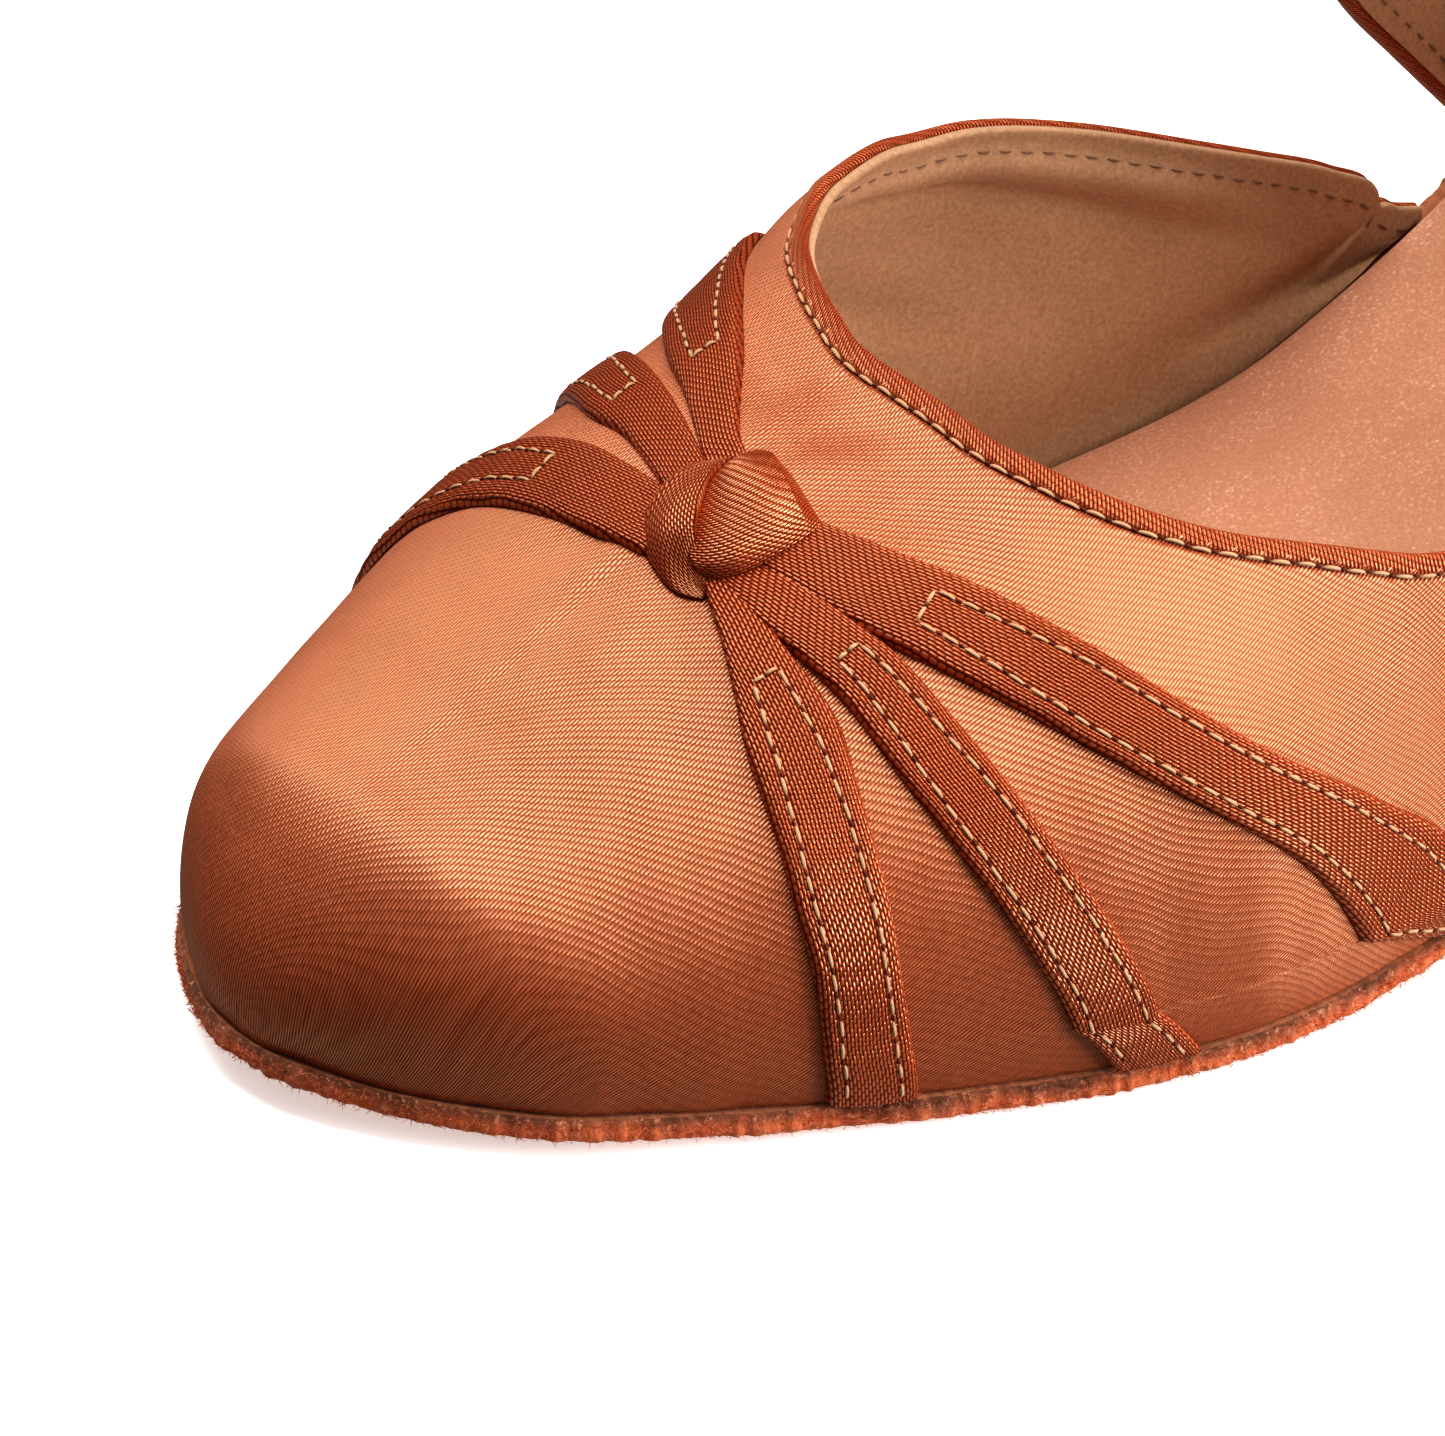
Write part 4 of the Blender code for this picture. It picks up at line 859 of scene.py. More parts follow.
def cloth_uv(grid):
    """Cloth coordinates of the lasted vamp: along the shoe, and across it from the ridge line.

    Where the toe faces forwards the cloth runs down it, so height there counts along and not across.
    """
    flat = grid.reshape(-1, 2)
    station = (flat ** 2).sum(-1)
    angle = np.arctan2(np.clip(flat[:, 1], 0, None), -flat[:, 0])
    marks = np.linspace(0.4, 14.0, 160) ** 2
    levels = np.linspace(0.0, 180.0, 121)
    ring = skin(chart(marks[:, None], levels[None, :]))
    facing = unit(np.cross(np.gradient(ring, axis=1), np.gradient(ring, axis=0)))
    forward = facing[..., 0] ** 2 / (facing[..., 0] ** 2 + facing[..., 1] ** 2 + 0.02)
    step = np.diff(ring, axis=1)
    sideways = (1 - forward[:, 1:] + 1 - forward[:, :-1]) / 2
    across = np.sqrt(step[..., 1] ** 2 + sideways * (step[..., 2] ** 2 + step[..., 0] ** 2))
    drop = (1 - sideways) * -step[..., 2]
    middle = len(levels) // 2
    v = np.concatenate([np.zeros((len(marks), 1)), np.cumsum(across, 1)], 1)
    v -= v[:, middle:middle + 1]
    u = np.concatenate([np.zeros((len(marks), 1)), np.cumsum(drop, 1)], 1)
    u = u[:, middle:middle + 1] - u
    u[:, middle:] *= -1
    u = run_length(ring[:, middle])[:, None] - u
    i = np.clip(np.interp(station, marks, np.arange(len(marks))), 0, len(marks) - 1.001)
    j = np.clip(np.degrees(angle) / 180 * (len(levels) - 1), 0, len(levels) - 1.001)
    i0, j0 = i.astype(int), j.astype(int)
    fi, fj = i - i0, j - j0
    both = [(1 - fi) * ((1 - fj) * t[i0, j0] + fj * t[i0, j0 + 1]) + fi * ((1 - fj) * t[i0 + 1, j0] + fj * t[i0 + 1, j0 + 1])
            for t in (u, v)]
    tip = np.clip(np.sqrt(station / marks[0]), 0, 1)
    return np.stack([both[0], both[1] * tip], -1).reshape(grid.shape)


def knot_distance(points):
    middle = skin(chart(KNOT_AT[0] * LENGTH, KNOT_AT[1]))
    return np.linalg.norm(points - middle, axis=-1)


def make_vamp():
    columns, rows = 460, 122
    angle = np.linspace(COLLAR[0][0], COLLAR[-1][0], 600)
    collar = chart(smooth(COLLAR, 1, angle) * LENGTH, angle)
    root = np.linspace(-math.sqrt(VAMP_END), math.sqrt(COLLAR[-1][1] * LENGTH), 1201)
    base = np.stack([root, np.zeros_like(root)], -1)
    bottom = even_on_surface(base, skin, columns)
    top = even_on_surface(collar, skin, columns)
    grid, depth = column_rows(bottom, top, skin, rows)
    surface, out = skin(grid), skin_out(grid)
    collar_along = run_length(skin(top))
    along = np.broadcast_to(collar_along, depth.shape)
    station, height = surface[..., 0], surface[..., 2] - feather(np.clip(surface[..., 0], 0, LENGTH))
    away = knot_distance(surface)
    lift = fold_profile(depth, along)
    lift += 0.10 * soft_noise(surface, 26.0, 4) * ease(depth, 2, 9) * ease(height, 1, 6)
    lift += 0.035 * soft_noise(surface, 6.0, 5) * ease(depth, 1.5, 5)
    base_along = run_length(skin(bottom))
    pleat = np.sin(base_along / 1.9 + 1.3 * np.sin(base_along / 7.1)) * np.exp(-(skin(bottom)[:, 0] / 55.0) ** 2)
    lift += 0.09 * pleat[None, :] * np.exp(-height / 2.2)
    # soft pulls from the knot towards the topline and the toe
    bearing = np.arctan2(surface[..., 1] - 2.0, station - KNOT_AT[0] * LENGTH)
    lift += 0.16 * np.sin(bearing * 9.0 + 0.7) * bell(away, 13.0, 5.5) * ease(depth, 1.5, 6)
    # the hollow between knot and topline, and the softer one beside the topline's bend
    lift += 1.1 * bell(station, 53.0, 7.5) * bell(surface[..., 1], 4.0, 11.0) * ease(depth, 0.5, 7)
    lift -= 0.30 * bell(station, 60.0, 4.0) * bell(surface[..., 1], -5.0, 9.0) * ease(depth, 1.5, 4)
    shape = surface + out * lift[..., None]
    uv = cloth_uv(grid)
    tuck = shape[:1] - out[:1] * 1.1 - np.array([0, 0, 0.28])
    shape = np.concatenate([tuck, shape])
    uv = np.concatenate([uv[:1] - [0, 1], uv])
    add_grid("vamp", shape, uv, vamp_satin, ("vamp",))
    edge, normal = surface[-1], out[-1]
    off = unit(surface[-1] - surface[-2])
    rolled_edge("vamp_fold", edge, normal, off, FOLD_THICK, FOLD_HIGH, fold_satin)
    below = np.array([np.argmin(np.abs(depth[:, 0] - FOLD_WIDE))])[0]
    line = shape[below + 1]
    sewn_row("topline_stitches", line + out[below] * 0.10, out[below], STITCH_PITCH, 1.72, 0.19, pale_thread)
    make_vamp_lining(grid, depth, surface, out, edge, normal, off)


def make_vamp_lining(grid, depth, surface, out, edge, normal, off):
    """Inner side with its own soft waves and a thin edge that stands just past the fold."""
    keep = np.concatenate([np.arange(0, depth.shape[0] - TOP_ROWS, 2), np.arange(depth.shape[0] - TOP_ROWS,
                                                                                depth.shape[0], 3)])
    inner = surface[keep] - out[keep] * (VAMP_WALL - 0.05)
    station, deep = surface[keep][..., 0], depth[keep]
    inside = ease(surface[keep][..., 1], 0, 6)
    padded = -1.3 * bell(deep, 3.9, 2.2) * ease(station, 76, 86) * (1 - ease(station, 118, 132))
    crease = 1.3 * bell(deep, 7.4, 1.2) * bell(station, 98.0, 18.0)
    hollow = 1.2 * bell(deep, 15.7 - 0.6 * (station - 127), 2.3) * bell(station, 134.0, 11.0)
    smudge = 0.7 * bell(deep, 22.0, 3.0) * bell(station, 88.0, 10.0)
    inner += out[keep] * ((padded + crease + hollow + smudge) * inside)[..., None]
    inner += out[keep] * (0.12 * soft_noise(surface[keep], 11.0, 8) * ease(deep, 2, 6))[..., None]
    lip_out = edge - normal * (FOLD_THICK - FOLD_HIGH + 0.02)
    lip = [edge - normal * (VAMP_WALL - 0.05) + off * 0.15, edge - normal * (VAMP_WALL - 0.15) + off * 0.38,
           edge - normal * (VAMP_WALL - 0.40) + off * 0.46, lip_out + off * 0.36, lip_out - off * 0.6]
    grid3 = np.concatenate([inner, np.array(lip)])
    uv = np.concatenate([cloth_uv(grid[keep]), np.repeat(cloth_uv(grid[keep])[-1:], len(lip), 0)])
    add_grid("vamp_lining", grid3, uv, lining_suede, flip=True)
    seam = np.argmin(np.abs(depth[keep][:, 0] - FOLD_WIDE))
    line, facing = inner[seam], -out[keep][seam]
    sew("vamp_lining_stitches", line + facing * 0.02, facing, STITCH_PITCH, 1.3, 0.11, brown_thread)


# Heel counter
def make_counter():
    columns, rows = 240, 96
    heights_ = np.linspace(0, FRONT_EDGE[-1][0], 90) * INSTEP
    stations = smooth(FRONT_EDGE, 1, heights_ / INSTEP) * LENGTH
    front_outer = np.stack([across_of(stations, -1), heights_], -1)
    front_inner = np.stack([across_of(stations, 1), heights_], -1)
    tops = np.linspace(TOP_EDGE[0][0], 1, 160) * LENGTH
    top_high = smooth(TOP_EDGE, 1, tops / LENGTH) * INSTEP
    top_outer = np.stack([across_of(tops, -1), top_high], -1)
    top_inner = np.stack([across_of(tops, 1), top_high], -1)
    seat = np.stack([np.linspace(front_outer[0, 0], front_inner[0, 0], 400), np.zeros(400)], -1)
    whole_top = np.concatenate([front_outer[-1:], top_outer, top_inner[::-1][1:], front_inner[-1:]])
    flat = patch(even_on_surface(seat, counter_skin, columns), resample(whole_top, columns),
                 resample(front_outer, rows), resample(front_inner, rows))
    surface = counter_skin(flat)
    out = counter_out(flat)
    below_top = run_length(surface[::-1])[::-1]
    from_left, from_right = run_length(surface, 1), run_length(surface[:, ::-1], 1)[:, ::-1]
    depth = np.minimum(below_top, np.minimum(from_left, from_right))
    lift = FOLD_HIGH * (1 - ease(depth, FOLD_WIDE - 0.5, FOLD_WIDE + 0.4))
    lift += 0.09 * soft_noise(surface, 24.0, 14) * ease(depth, 2, 8)
    shape = surface + out * lift[..., None]
    around = run_length(surface, 1)
    uv = np.stack([around, below_top], -1)
    add_grid("heel_counter", shape, uv, vamp_satin, ("heel_counter",))
    inner = surface - out * (COUNTER_WALL - 0.05)
    inner += out * (0.12 * soft_noise(surface, 12.0, 16))[..., None]
    add_grid("heel_counter_lining", inner, uv, lining_suede, flip=True)
    border = ([(r, 0) for r in range(rows)] + [(rows - 1, c) for c in range(1, columns)]
              + [(r, columns - 1) for r in range(rows - 2, -1, -1)])
    r, c = np.array(border).T
    edge, normal = surface[r, c], out[r, c]
    travel = np.gradient(edge, axis=0)
    off = unit(np.cross(travel, normal))
    toward = surface[np.clip(r, 4, rows - 5), np.clip(c, 4, columns - 5)] - edge
    off *= -np.sign((off * toward).sum(-1, keepdims=True))
    rolled_edge("heel_counter_fold", edge, normal, off, COUNTER_WALL + FOLD_HIGH - 0.2, FOLD_HIGH, fold_satin,
                tuck=0.6)
    line = edge - off * FOLD_WIDE + normal * (FOLD_HIGH * 0.45)
    sewn_row("heel_counter_stitches", line[6:-6], normal[6:-6], STITCH_PITCH, 1.6, 0.19, pale_thread)
    inside = edge - off * FOLD_WIDE - normal * (COUNTER_WALL - 0.1)
    sew("heel_counter_inner_stitches", inside[6:-6], -normal[6:-6], STITCH_PITCH, 1.6, 0.17, brown_thread)


# Ribbons
RIBBON_START = {                # angle off the ridge where each ribbon's stitching begins, in degrees
    "ribbon_front_outer": 20.5, "ribbon_middle_outer": 23.0, "ribbon_back_outer": 22.5,
    "ribbon_front_inner": 15.0, "ribbon_middle_inner": 16.0, "ribbon_back_inner": 12.0}
RIBBON_STITCH = 2.1
RIBBON_LAYER = {"ribbon_front_outer": 0.10, "ribbon_middle_outer": 0.26, "ribbon_back_outer": 0.46,
                "ribbon_front_inner": 0.10, "ribbon_middle_inner": 0.22, "ribbon_back_inner": 0.34}


def wide_ribbon(rows):
    """The ribbon's table as an array of floats."""
    table = np.array(rows, float)
    return table


def ribbon_grid(rows, along_count, across_count):
    table = np.array(rows, float) * [LENGTH, 1, LENGTH, 1]
    edge = skin(chart(table[:, 0], table[:, 1]))
    along = run_length(edge)
    at = np.linspace(0, along[-1], along_count)
    keyed = [(a, *r) for a, r in zip(along, table)]
    one = chart(smooth(keyed, 1, at), smooth(keyed, 2, at))
    two = chart(smooth(keyed, 3, at), smooth(keyed, 4, at))
    t = np.linspace(0, 1, across_count)[:, None, None]
    return one[None] * (1 - t) + two[None] * t


def make_ribbon(name):
    along_count, across_count = 230, 27
    flat = ribbon_grid(RIBBONS[name], along_count, across_count)
    surface, out = skin(flat), skin_out(flat)
    t = np.linspace(0, 1, across_count)[:, None]
    along, across = run_length(surface, 1), run_length(surface)
    wide = across[-1:]
    lift = RIBBON_LAYER[name] * (1 - ease(along, 12, 30))
    begin_angle = np.abs(np.degrees(np.arctan2(flat[across_count // 2, :, 1], -flat[across_count // 2, :, 0])) - 90)
    begin = int(np.argmax(begin_angle > RIBBON_START[name]))
    inset = 0.20 + 0.10 * (1 - ease(along[0], along[0, begin], along[0, begin] + 18))
    stitched = ease(along, along[0, begin] - 1, along[0, begin] + 1)
    body = (1 - np.abs(2 * t - 1) ** 9) ** 0.5
    crown = 0.10 * np.sin(math.pi * t) + 0 * along
    for side in (inset, 1 - inset):
        crown = crown - 0.17 * stitched * bell((t - side[None, :]) * wide, 0, 0.32)
    crown += 0.05 * soft_noise(surface, 7.0, len(name)) + 0.03 * np.cos(2 * math.pi * along / RIBBON_STITCH) * stitched
    high = surface + out * (RIBBON_GAP - 0.25 + lift + (RIBBON_THICK + crown - 0.1) * body)[..., None]
    low = surface + out * 0.05
    shape = np.concatenate([low[:1], high, low[-1:]])
    uv = np.stack([along, across - wide / 2], -1)
    uv = np.concatenate([uv[:1] - [0, 1], uv, uv[-1:] + [0, 1]])
    # the cut end is tucked in at the sole
    end = shape[:, -1:] * 1.0
    end[..., 2] = np.minimum(end[..., 2], surface[:, -1:, 2].max()) - 0.5
    end -= np.concatenate([out[:1, -1:], out[:, -1:], out[-1:, -1:]]) * 1.0
    shape = np.concatenate([shape, end], 1)
    uv = np.concatenate([uv, uv[:, -1:] + [1, 0]], 1)
    inner = name.endswith("inner")
    add_grid(name, shape, uv, ribbon_satin, (name,), flip=inner)
    rows = []
    for side in (inset, 1 - inset):
        row = np.clip(side * (across_count - 1), 0, across_count - 1)
        low_row = row.astype(int)
        part = (row - low_row)[:, None]
        columns = np.arange(along_count)
        path = high[low_row, columns] * (1 - part) + high[np.minimum(low_row + 1, across_count - 1), columns] * part
        rows.append((path, out[low_row, columns]))
    for k, (path, normal) in enumerate(rows):
        sewn_row(f"{name}_stitches_{k}", path[begin:] + normal[begin:] * 0.05, normal[begin:], RIBBON_STITCH, 1.5,
                 0.165, pale_thread)
    bar_low, bar_high = rows[0][0][begin], rows[1][0][begin]
    share = np.linspace(0, 1, 20)[:, None]
    bar_t = inset[begin] + (1 - 2 * inset[begin]) * share[:, 0]
    bar_rows = bar_t * (across_count - 1)
    bar = np.stack([np.interp(bar_rows, np.arange(across_count), high[:, begin, i]) for i in range(3)], -1)
    bar_out = np.repeat(out[across_count // 2, begin][None], 20, 0)
    long = float(np.linalg.norm(bar_high - bar_low))
    stitches = max(2, int(round(long / 2.2)))
    sewn_row(f"{name}_crossbar", bar + bar_out * 0.08, bar_out, long / stitches * 0.999, long / stitches * 0.82, 0.17,
             pale_thread)


# Knot: two lobes of folded ribbon in the plane of the throat, in mm heelwards and inwards from the middle
KNOT_LOOP_OUTER = ((4.2, 4.5), (2.4, 7.0), (-0.3, 7.8), (-3.4, 7.1), (-5.6, 5.7), (-6.9, 3.9), (-7.6, 1.5),
                   (-7.7, -0.8), (-6.9, -2.9))
KNOT_LOOP_INNER = ((3.3, 4.2), (2.3, 4.2), (0.9, 3.7), (-1.2, 2.3), (-3.2, 0.8), (-4.5, -0.5), (-5.1, -1.4),
                   (-5.5, -2.1), (-6.0, -2.9))
KNOT_BAND_LEFT = ((-5.6, -2.2), (-5.6, -1.0), (-4.4, 0.6), (-2.2, 2.6), (0.4, 4.0), (2.3, 4.6))
KNOT_BAND_BOTTOM = ((-5.6, -2.2), (-4.8, -3.5), (-3.5, -4.5), (-1.8, -5.1), (1.1, -5.7), (4.4, -5.7))
KNOT_BAND_TOP = ((2.3, 4.6), (3.4, 4.8), (4.6, 4.8), (6.0, 4.4), (7.0, 3.3))
KNOT_BAND_RIGHT = ((4.4, -5.7), (5.5, -2.5), (6.5, 0.6), (7.0, 3.3))


def curve_through(points, count):
    """Smooth curve through a few points, evenly spaced."""
    p = np.array(points, float)
    ext = np.concatenate([[2 * p[0] - p[1]], p, [2 * p[-1] - p[-2]]])
    out = []
    for i in range(1, len(ext) - 2):
        t = np.linspace(0, 1, 24, endpoint=i == len(ext) - 3)[:, None]
        a, b, c, d = ext[i - 1], ext[i], ext[i + 1], ext[i + 2]
        out.append(0.5 * (2 * b + (c - a) * t + (2 * a - 5 * b + 4 * c - d) * t ** 2
                          + (3 * b - a - 3 * c + d) * t ** 3))
    return resample(np.concatenate(out), count)


def on_throat(flat, high):
    """Knot plane point and height to the shoe's space."""
    centre = chart(KNOT_AT[0] * LENGTH, KNOT_AT[1])
    normal = skin_out(centre)
    one = unit(np.array([1.0, 0, 0]) - normal * normal[0])
    two = np.cross(normal, one)
    e = 0.05
    step = np.stack([(skin(centre + [e, 0]) - skin(centre - [e, 0])) / (2 * e),
                     (skin(centre + [0, e]) - skin(centre - [0, e])) / (2 * e)], -1)
    plane = np.stack([one, two], -1)
    to_chart = np.linalg.lstsq(step, plane, rcond=None)[0]
    where = centre + flat @ to_chart.T
    return skin(where) + skin_out(where) * np.asarray(high)[..., None]


def make_knot():
    count, lanes = 90, 46
    outer, inner = curve_through(KNOT_LOOP_OUTER, count), curve_through(KNOT_LOOP_INNER, count)
    q = np.linspace(0, 1, lanes)[:, None]
    p = np.linspace(0, 1, count)[None, :]
    flat = outer[None] * (1 - q[..., None]) + inner[None] * q[..., None]
    crest = 3.2 + 1.5 * np.sin(math.pi * np.clip(p * 0.85 + 0.08, 0, 1)) - 2.6 * ease(p, 0.62, 1.0)
    high = 0.4 + (crest - 0.4) * np.sin(math.pi / 2 * q) ** 0.75
    high += 0.07 * np.sin(p * 17 + q * 9) * np.sin(math.pi * q)
    shape = on_throat(flat, high)
    skirt = on_throat(flat[-1:], np.maximum(high[-1:] - 1.6, 0.2))
    base = on_throat(flat[:1] + (flat[1:2] - flat[:1]) * 2.0, np.full((1, count), 0.05))
    shape = np.concatenate([base, shape, skirt])
    sunk = unit(np.array([-0.35, -0.07, 0.93])) * 2.0
    shape = np.concatenate([shape[:, :1] - sunk, shape, shape[:, -1:] - sunk], 1)
    along = np.repeat(run_length(shape, 1)[lanes // 2][None], len(shape), 0)
    lane = np.linspace(0, 5.6, len(shape))[:, None] + 0 * along
    add_grid("knot_loop", shape, np.stack([along, lane], -1), knot_satin, ("knot",), flip=True)
    left, right = curve_through(KNOT_BAND_LEFT, lanes), curve_through(KNOT_BAND_RIGHT, lanes)
    low, top = curve_through(KNOT_BAND_BOTTOM, count), curve_through(KNOT_BAND_TOP, count)
    flat = patch(low, top, left, right)
    crest = 2.5 + 2.2 * np.sin(math.pi * np.clip(0.12 + p * 0.72, 0, 1))
    rise = np.clip(1 - np.abs(2 * q - 1) ** 3.2, 0, 1) ** 0.5
    fall = np.clip((1 - p) / 0.13, 0, 1) ** 0.8
    high = 0.9 + (crest - 0.9) * rise * (0.15 + 0.85 * fall)
    high += 0.06 * np.sin(q * 9 + p * 4) * fall
    shape = on_throat(flat, high)
    rims = []
    for row, away in ((0, 1), (-1, -2)):
        inward = flat[away] - flat[row]
        rims.append(on_throat((flat[row] + inward * 1.5)[None], np.full((1, count), 0.1)))
    shape = np.concatenate([rims[0], shape, rims[1]])
    foot = shape[:, -1:] * 1.0
    foot -= unit(np.array([-0.35, -0.07, 0.93])) * 1.4
    start = shape[:, :1] - unit(np.array([-0.35, -0.07, 0.93])) * 1.4
    shape = np.concatenate([start, shape, foot], 1)
    along, across = run_length(shape, 1), run_length(shape)
    add_grid("knot_band", shape, np.stack([along, across], -1), knot_satin)


# Sole, insole and their edges
def feather_loop(count, first, last, move):
    """Plan points from the outer side at one station round the toe to the inner side, moved outwards."""
    root = np.linspace(-math.sqrt(first), math.sqrt(last), 3001)
    line = skin(np.stack([root, np.zeros_like(root)], -1))[:, :2]
    line = resample(line, 1500)
    travel = unit(np.gradient(line, axis=0))
    out = np.stack([travel[:, 1], -travel[:, 0]], -1)
    centre = np.array([40.0, 0.0])
    out *= np.sign((out * (line - centre)).sum(-1).sum())
    return resample(line + out * move, count), None


def heel_loop(count, first, move):
    """Plan points from the inner side round the heel's back to the outer side."""
    at = LENGTH - np.linspace(math.sqrt(LENGTH - first), 0, 600) ** 2
    inner, outer = halves(at)
    line = np.concatenate([np.stack([at, inner], -1), np.stack([at, -outer], -1)[::-1][1:]])
    travel = unit(np.gradient(line, axis=0))
    out = np.stack([travel[:, 1], -travel[:, 0]], -1)
    out *= np.sign((out * (line - np.array([LENGTH * 0.85, 0.0]))).sum(-1).sum())
    return resample(line + out * move, count)


def spine_of(loop, low, high):
    station = np.clip(loop[:, 0], low, high)
    inner, outer = halves(station)
    return np.stack([station, (inner - outer) / 2], -1)


def lie(plan, lift):
    """Plan points at a height above the last's bottom edge."""
    return np.concatenate([plan, (feather(np.clip(plan[..., 0], 0, LENGTH)) + lift)[..., None]], -1)


def make_outsole():
    count = 1500
    end = BREAST - 2 * GAP
    loop, _ = feather_loop(count, end, end, SOLE_RIM)
    spine = spine_of(loop, 14.0, end)
    out = unit(loop - spine)
    ragged = (0.16 * soft_noise(loop, 2.2, 31) + 0.10 * soft_noise(loop, 0.9, 32) + 0.12 * soft_noise(loop, 9.0, 33))
    level = np.array([0.0, 0.05, 0.18, 0.35, 0.55, 0.75, 0.92, 1.0])
    bulge = np.array([-0.25, 0.02, 0.16, 0.20, 0.10, 0.0, -0.10, -0.35])
    rows, uv = [], []
    for f in (0.0, 0.25, 0.5, 0.75, 0.92):
        rows.append(lie(spine + (loop - spine) * f, -GAP - SOLE_THICK))
    for k, (h, b) in enumerate(zip(level, bulge)):
        shift = b + ragged * (1.0 if 0 < k < 7 else 0.5) + 0.09 * soft_noise(loop, 1.1, 40 + k)
        ring = lie(loop + out * shift[:, None], -GAP - SOLE_THICK * (1 - h))
        ring[:, 2] += 0.06 * soft_noise(loop, 1.6, 60 + k) * (0 < k < 7)
        ring[:, 2] = np.maximum(ring[:, 2], 0.0)
        rows.append(ring)
    for f in (0.92, 0.7, 0.0):
        rows.append(lie(spine + (loop - spine) * f, -GAP))
    heights = [0.0] * 5 + level.tolist() + [1.0] * 3
    grid = np.array(rows)
    along = run_length(loop)
    uv = np.stack(np.broadcast_arrays(along[None, :], np.array(heights)[:, None]), -1)
    faces = quad_faces(len(rows), count, 0, False, True)
    item = add_piece("outsole", grid.reshape(-1, 3), faces, uv.reshape(-1, 2), [sole_suede, sole_edge],
                     ("outsole",))
    index = np.array([1 if 4 <= i // (count - 1) < 12 else 0 for i in range(len(faces))], np.int32)
    item.data.polygons.foreach_set("material_index", index)
    breast = []
    for side, k in ((-1, 0), (1, count - 1)):
        breast.append(grid[:, k])
    plate_rows = np.array([breast[0] * (1 - t) + breast[1] * t for t in np.linspace(0, 1, 12)])
    plate_uv = np.stack([plate_rows[..., 1], plate_rows[..., 2]], -1)
    add_grid("outsole_breast", plate_rows, plate_uv, sole_suede)
    make_fuzz(loop, out, end)


FUZZ_COUNT = 12000


def make_fuzz(loop, out, end):
    """Loose suede fibres along the cut edge."""
    rng = np.random.default_rng(77)
    pick = rng.integers(20, len(loop) - 20, FUZZ_COUNT)
    level = rng.beta(1.3, 1.6, FUZZ_COUNT)
    root = lie(loop[pick] + out[pick] * 0.05, 0.0)
    root[:, 2] += -GAP - SOLE_THICK * (1 - level)
    tangent = np.stack([-out[pick][:, 1], out[pick][:, 0], 0 * level], -1)
    outward = np.concatenate([out[pick], 0 * level[:, None]], -1)
    aim = unit(outward * rng.uniform(0.25, 1.0, (FUZZ_COUNT, 1)) + tangent * rng.normal(0, 0.8, (FUZZ_COUNT, 1))
               + np.array([0, 0, 1.0]) * rng.normal(-0.05, 0.45, (FUZZ_COUNT, 1)))
    length = rng.gamma(3.0, 0.11, FUZZ_COUNT)[:, None] + 0.12
    bend = unit(tangent * rng.normal(0, 1, (FUZZ_COUNT, 1)) + np.array([0, 0, 1.0]) * rng.normal(0, 1, (FUZZ_COUNT, 1)))
    wide = rng.uniform(0.022, 0.045, (FUZZ_COUNT, 1))
    side = unit(np.cross(aim, bend))
    points, faces, uv = [], [], []
    rows = []
    for t, w in ((0.0, 1.0), (0.4, 0.85), (0.75, 0.6), (1.0, 0.15)):
        mid = root + aim * length * t + bend * length * 0.35 * t * t
        mid[:, 2] = np.maximum(mid[:, 2], 0.03)
        rows.append(mid - side * wide * w)
        rows.append(mid + side * wide * w)
    block = np.stack(rows, 1)
    points = block.reshape(-1, 3)
    first = (np.arange(FUZZ_COUNT) * 8)[:, None]
    quads = [np.concatenate([first + 2 * k, first + 2 * k + 1, first + 2 * k + 3, first + 2 * k + 2], 1)
             for k in range(3)]
    faces = np.concatenate(quads).tolist()
    uv = np.repeat(np.stack([pick * 1.0, level * 0.55], -1), 8, 0)
    add_piece("outsole_fuzz", points, faces, uv, sole_edge)


def make_insole():
    move = -(VAMP_WALL + GAP + 0.5)
    split = VAMP_END + 4.0
    toe, _ = feather_loop(700, split, split, move)
    heel = heel_loop(500, split, move)
    loop = np.concatenate([toe, heel[1:-1]])
    spine = spine_of(loop, 15.0, LENGTH - 22.0)
    out = unit(loop - spine)
    widen = 1.7 * bell(loop[:, 0], VAMP_END + 3.7, 1.6)
    loop = loop + out * widen[:, None]
    rows = []
    shares = np.concatenate([np.linspace(0, 0.9, 16), [0.95, 0.975, 0.99, 1.0]])
    for f in shares:
        plan = spine + (loop - spine) * f
        crown = INSOLE_THICK + 0.25 * (1 - f ** 4) - 0.9 * (np.clip((f - 0.95) / 0.05, 0, 1) ** 2)
        ring = lie(plan, crown)
        ring[:, 2] += 0.10 * soft_noise(ring, 22.0, 51)
        rows.append(ring)
    rows.append(lie(loop, 0.1))
    rows.append(lie(spine + (loop - spine) * 0.9, 0.05))
    grid = np.array(rows)
    uv = grid[..., :2]
    add_grid("insole", grid, uv, sock_suede, ("insole",), wrap=True)


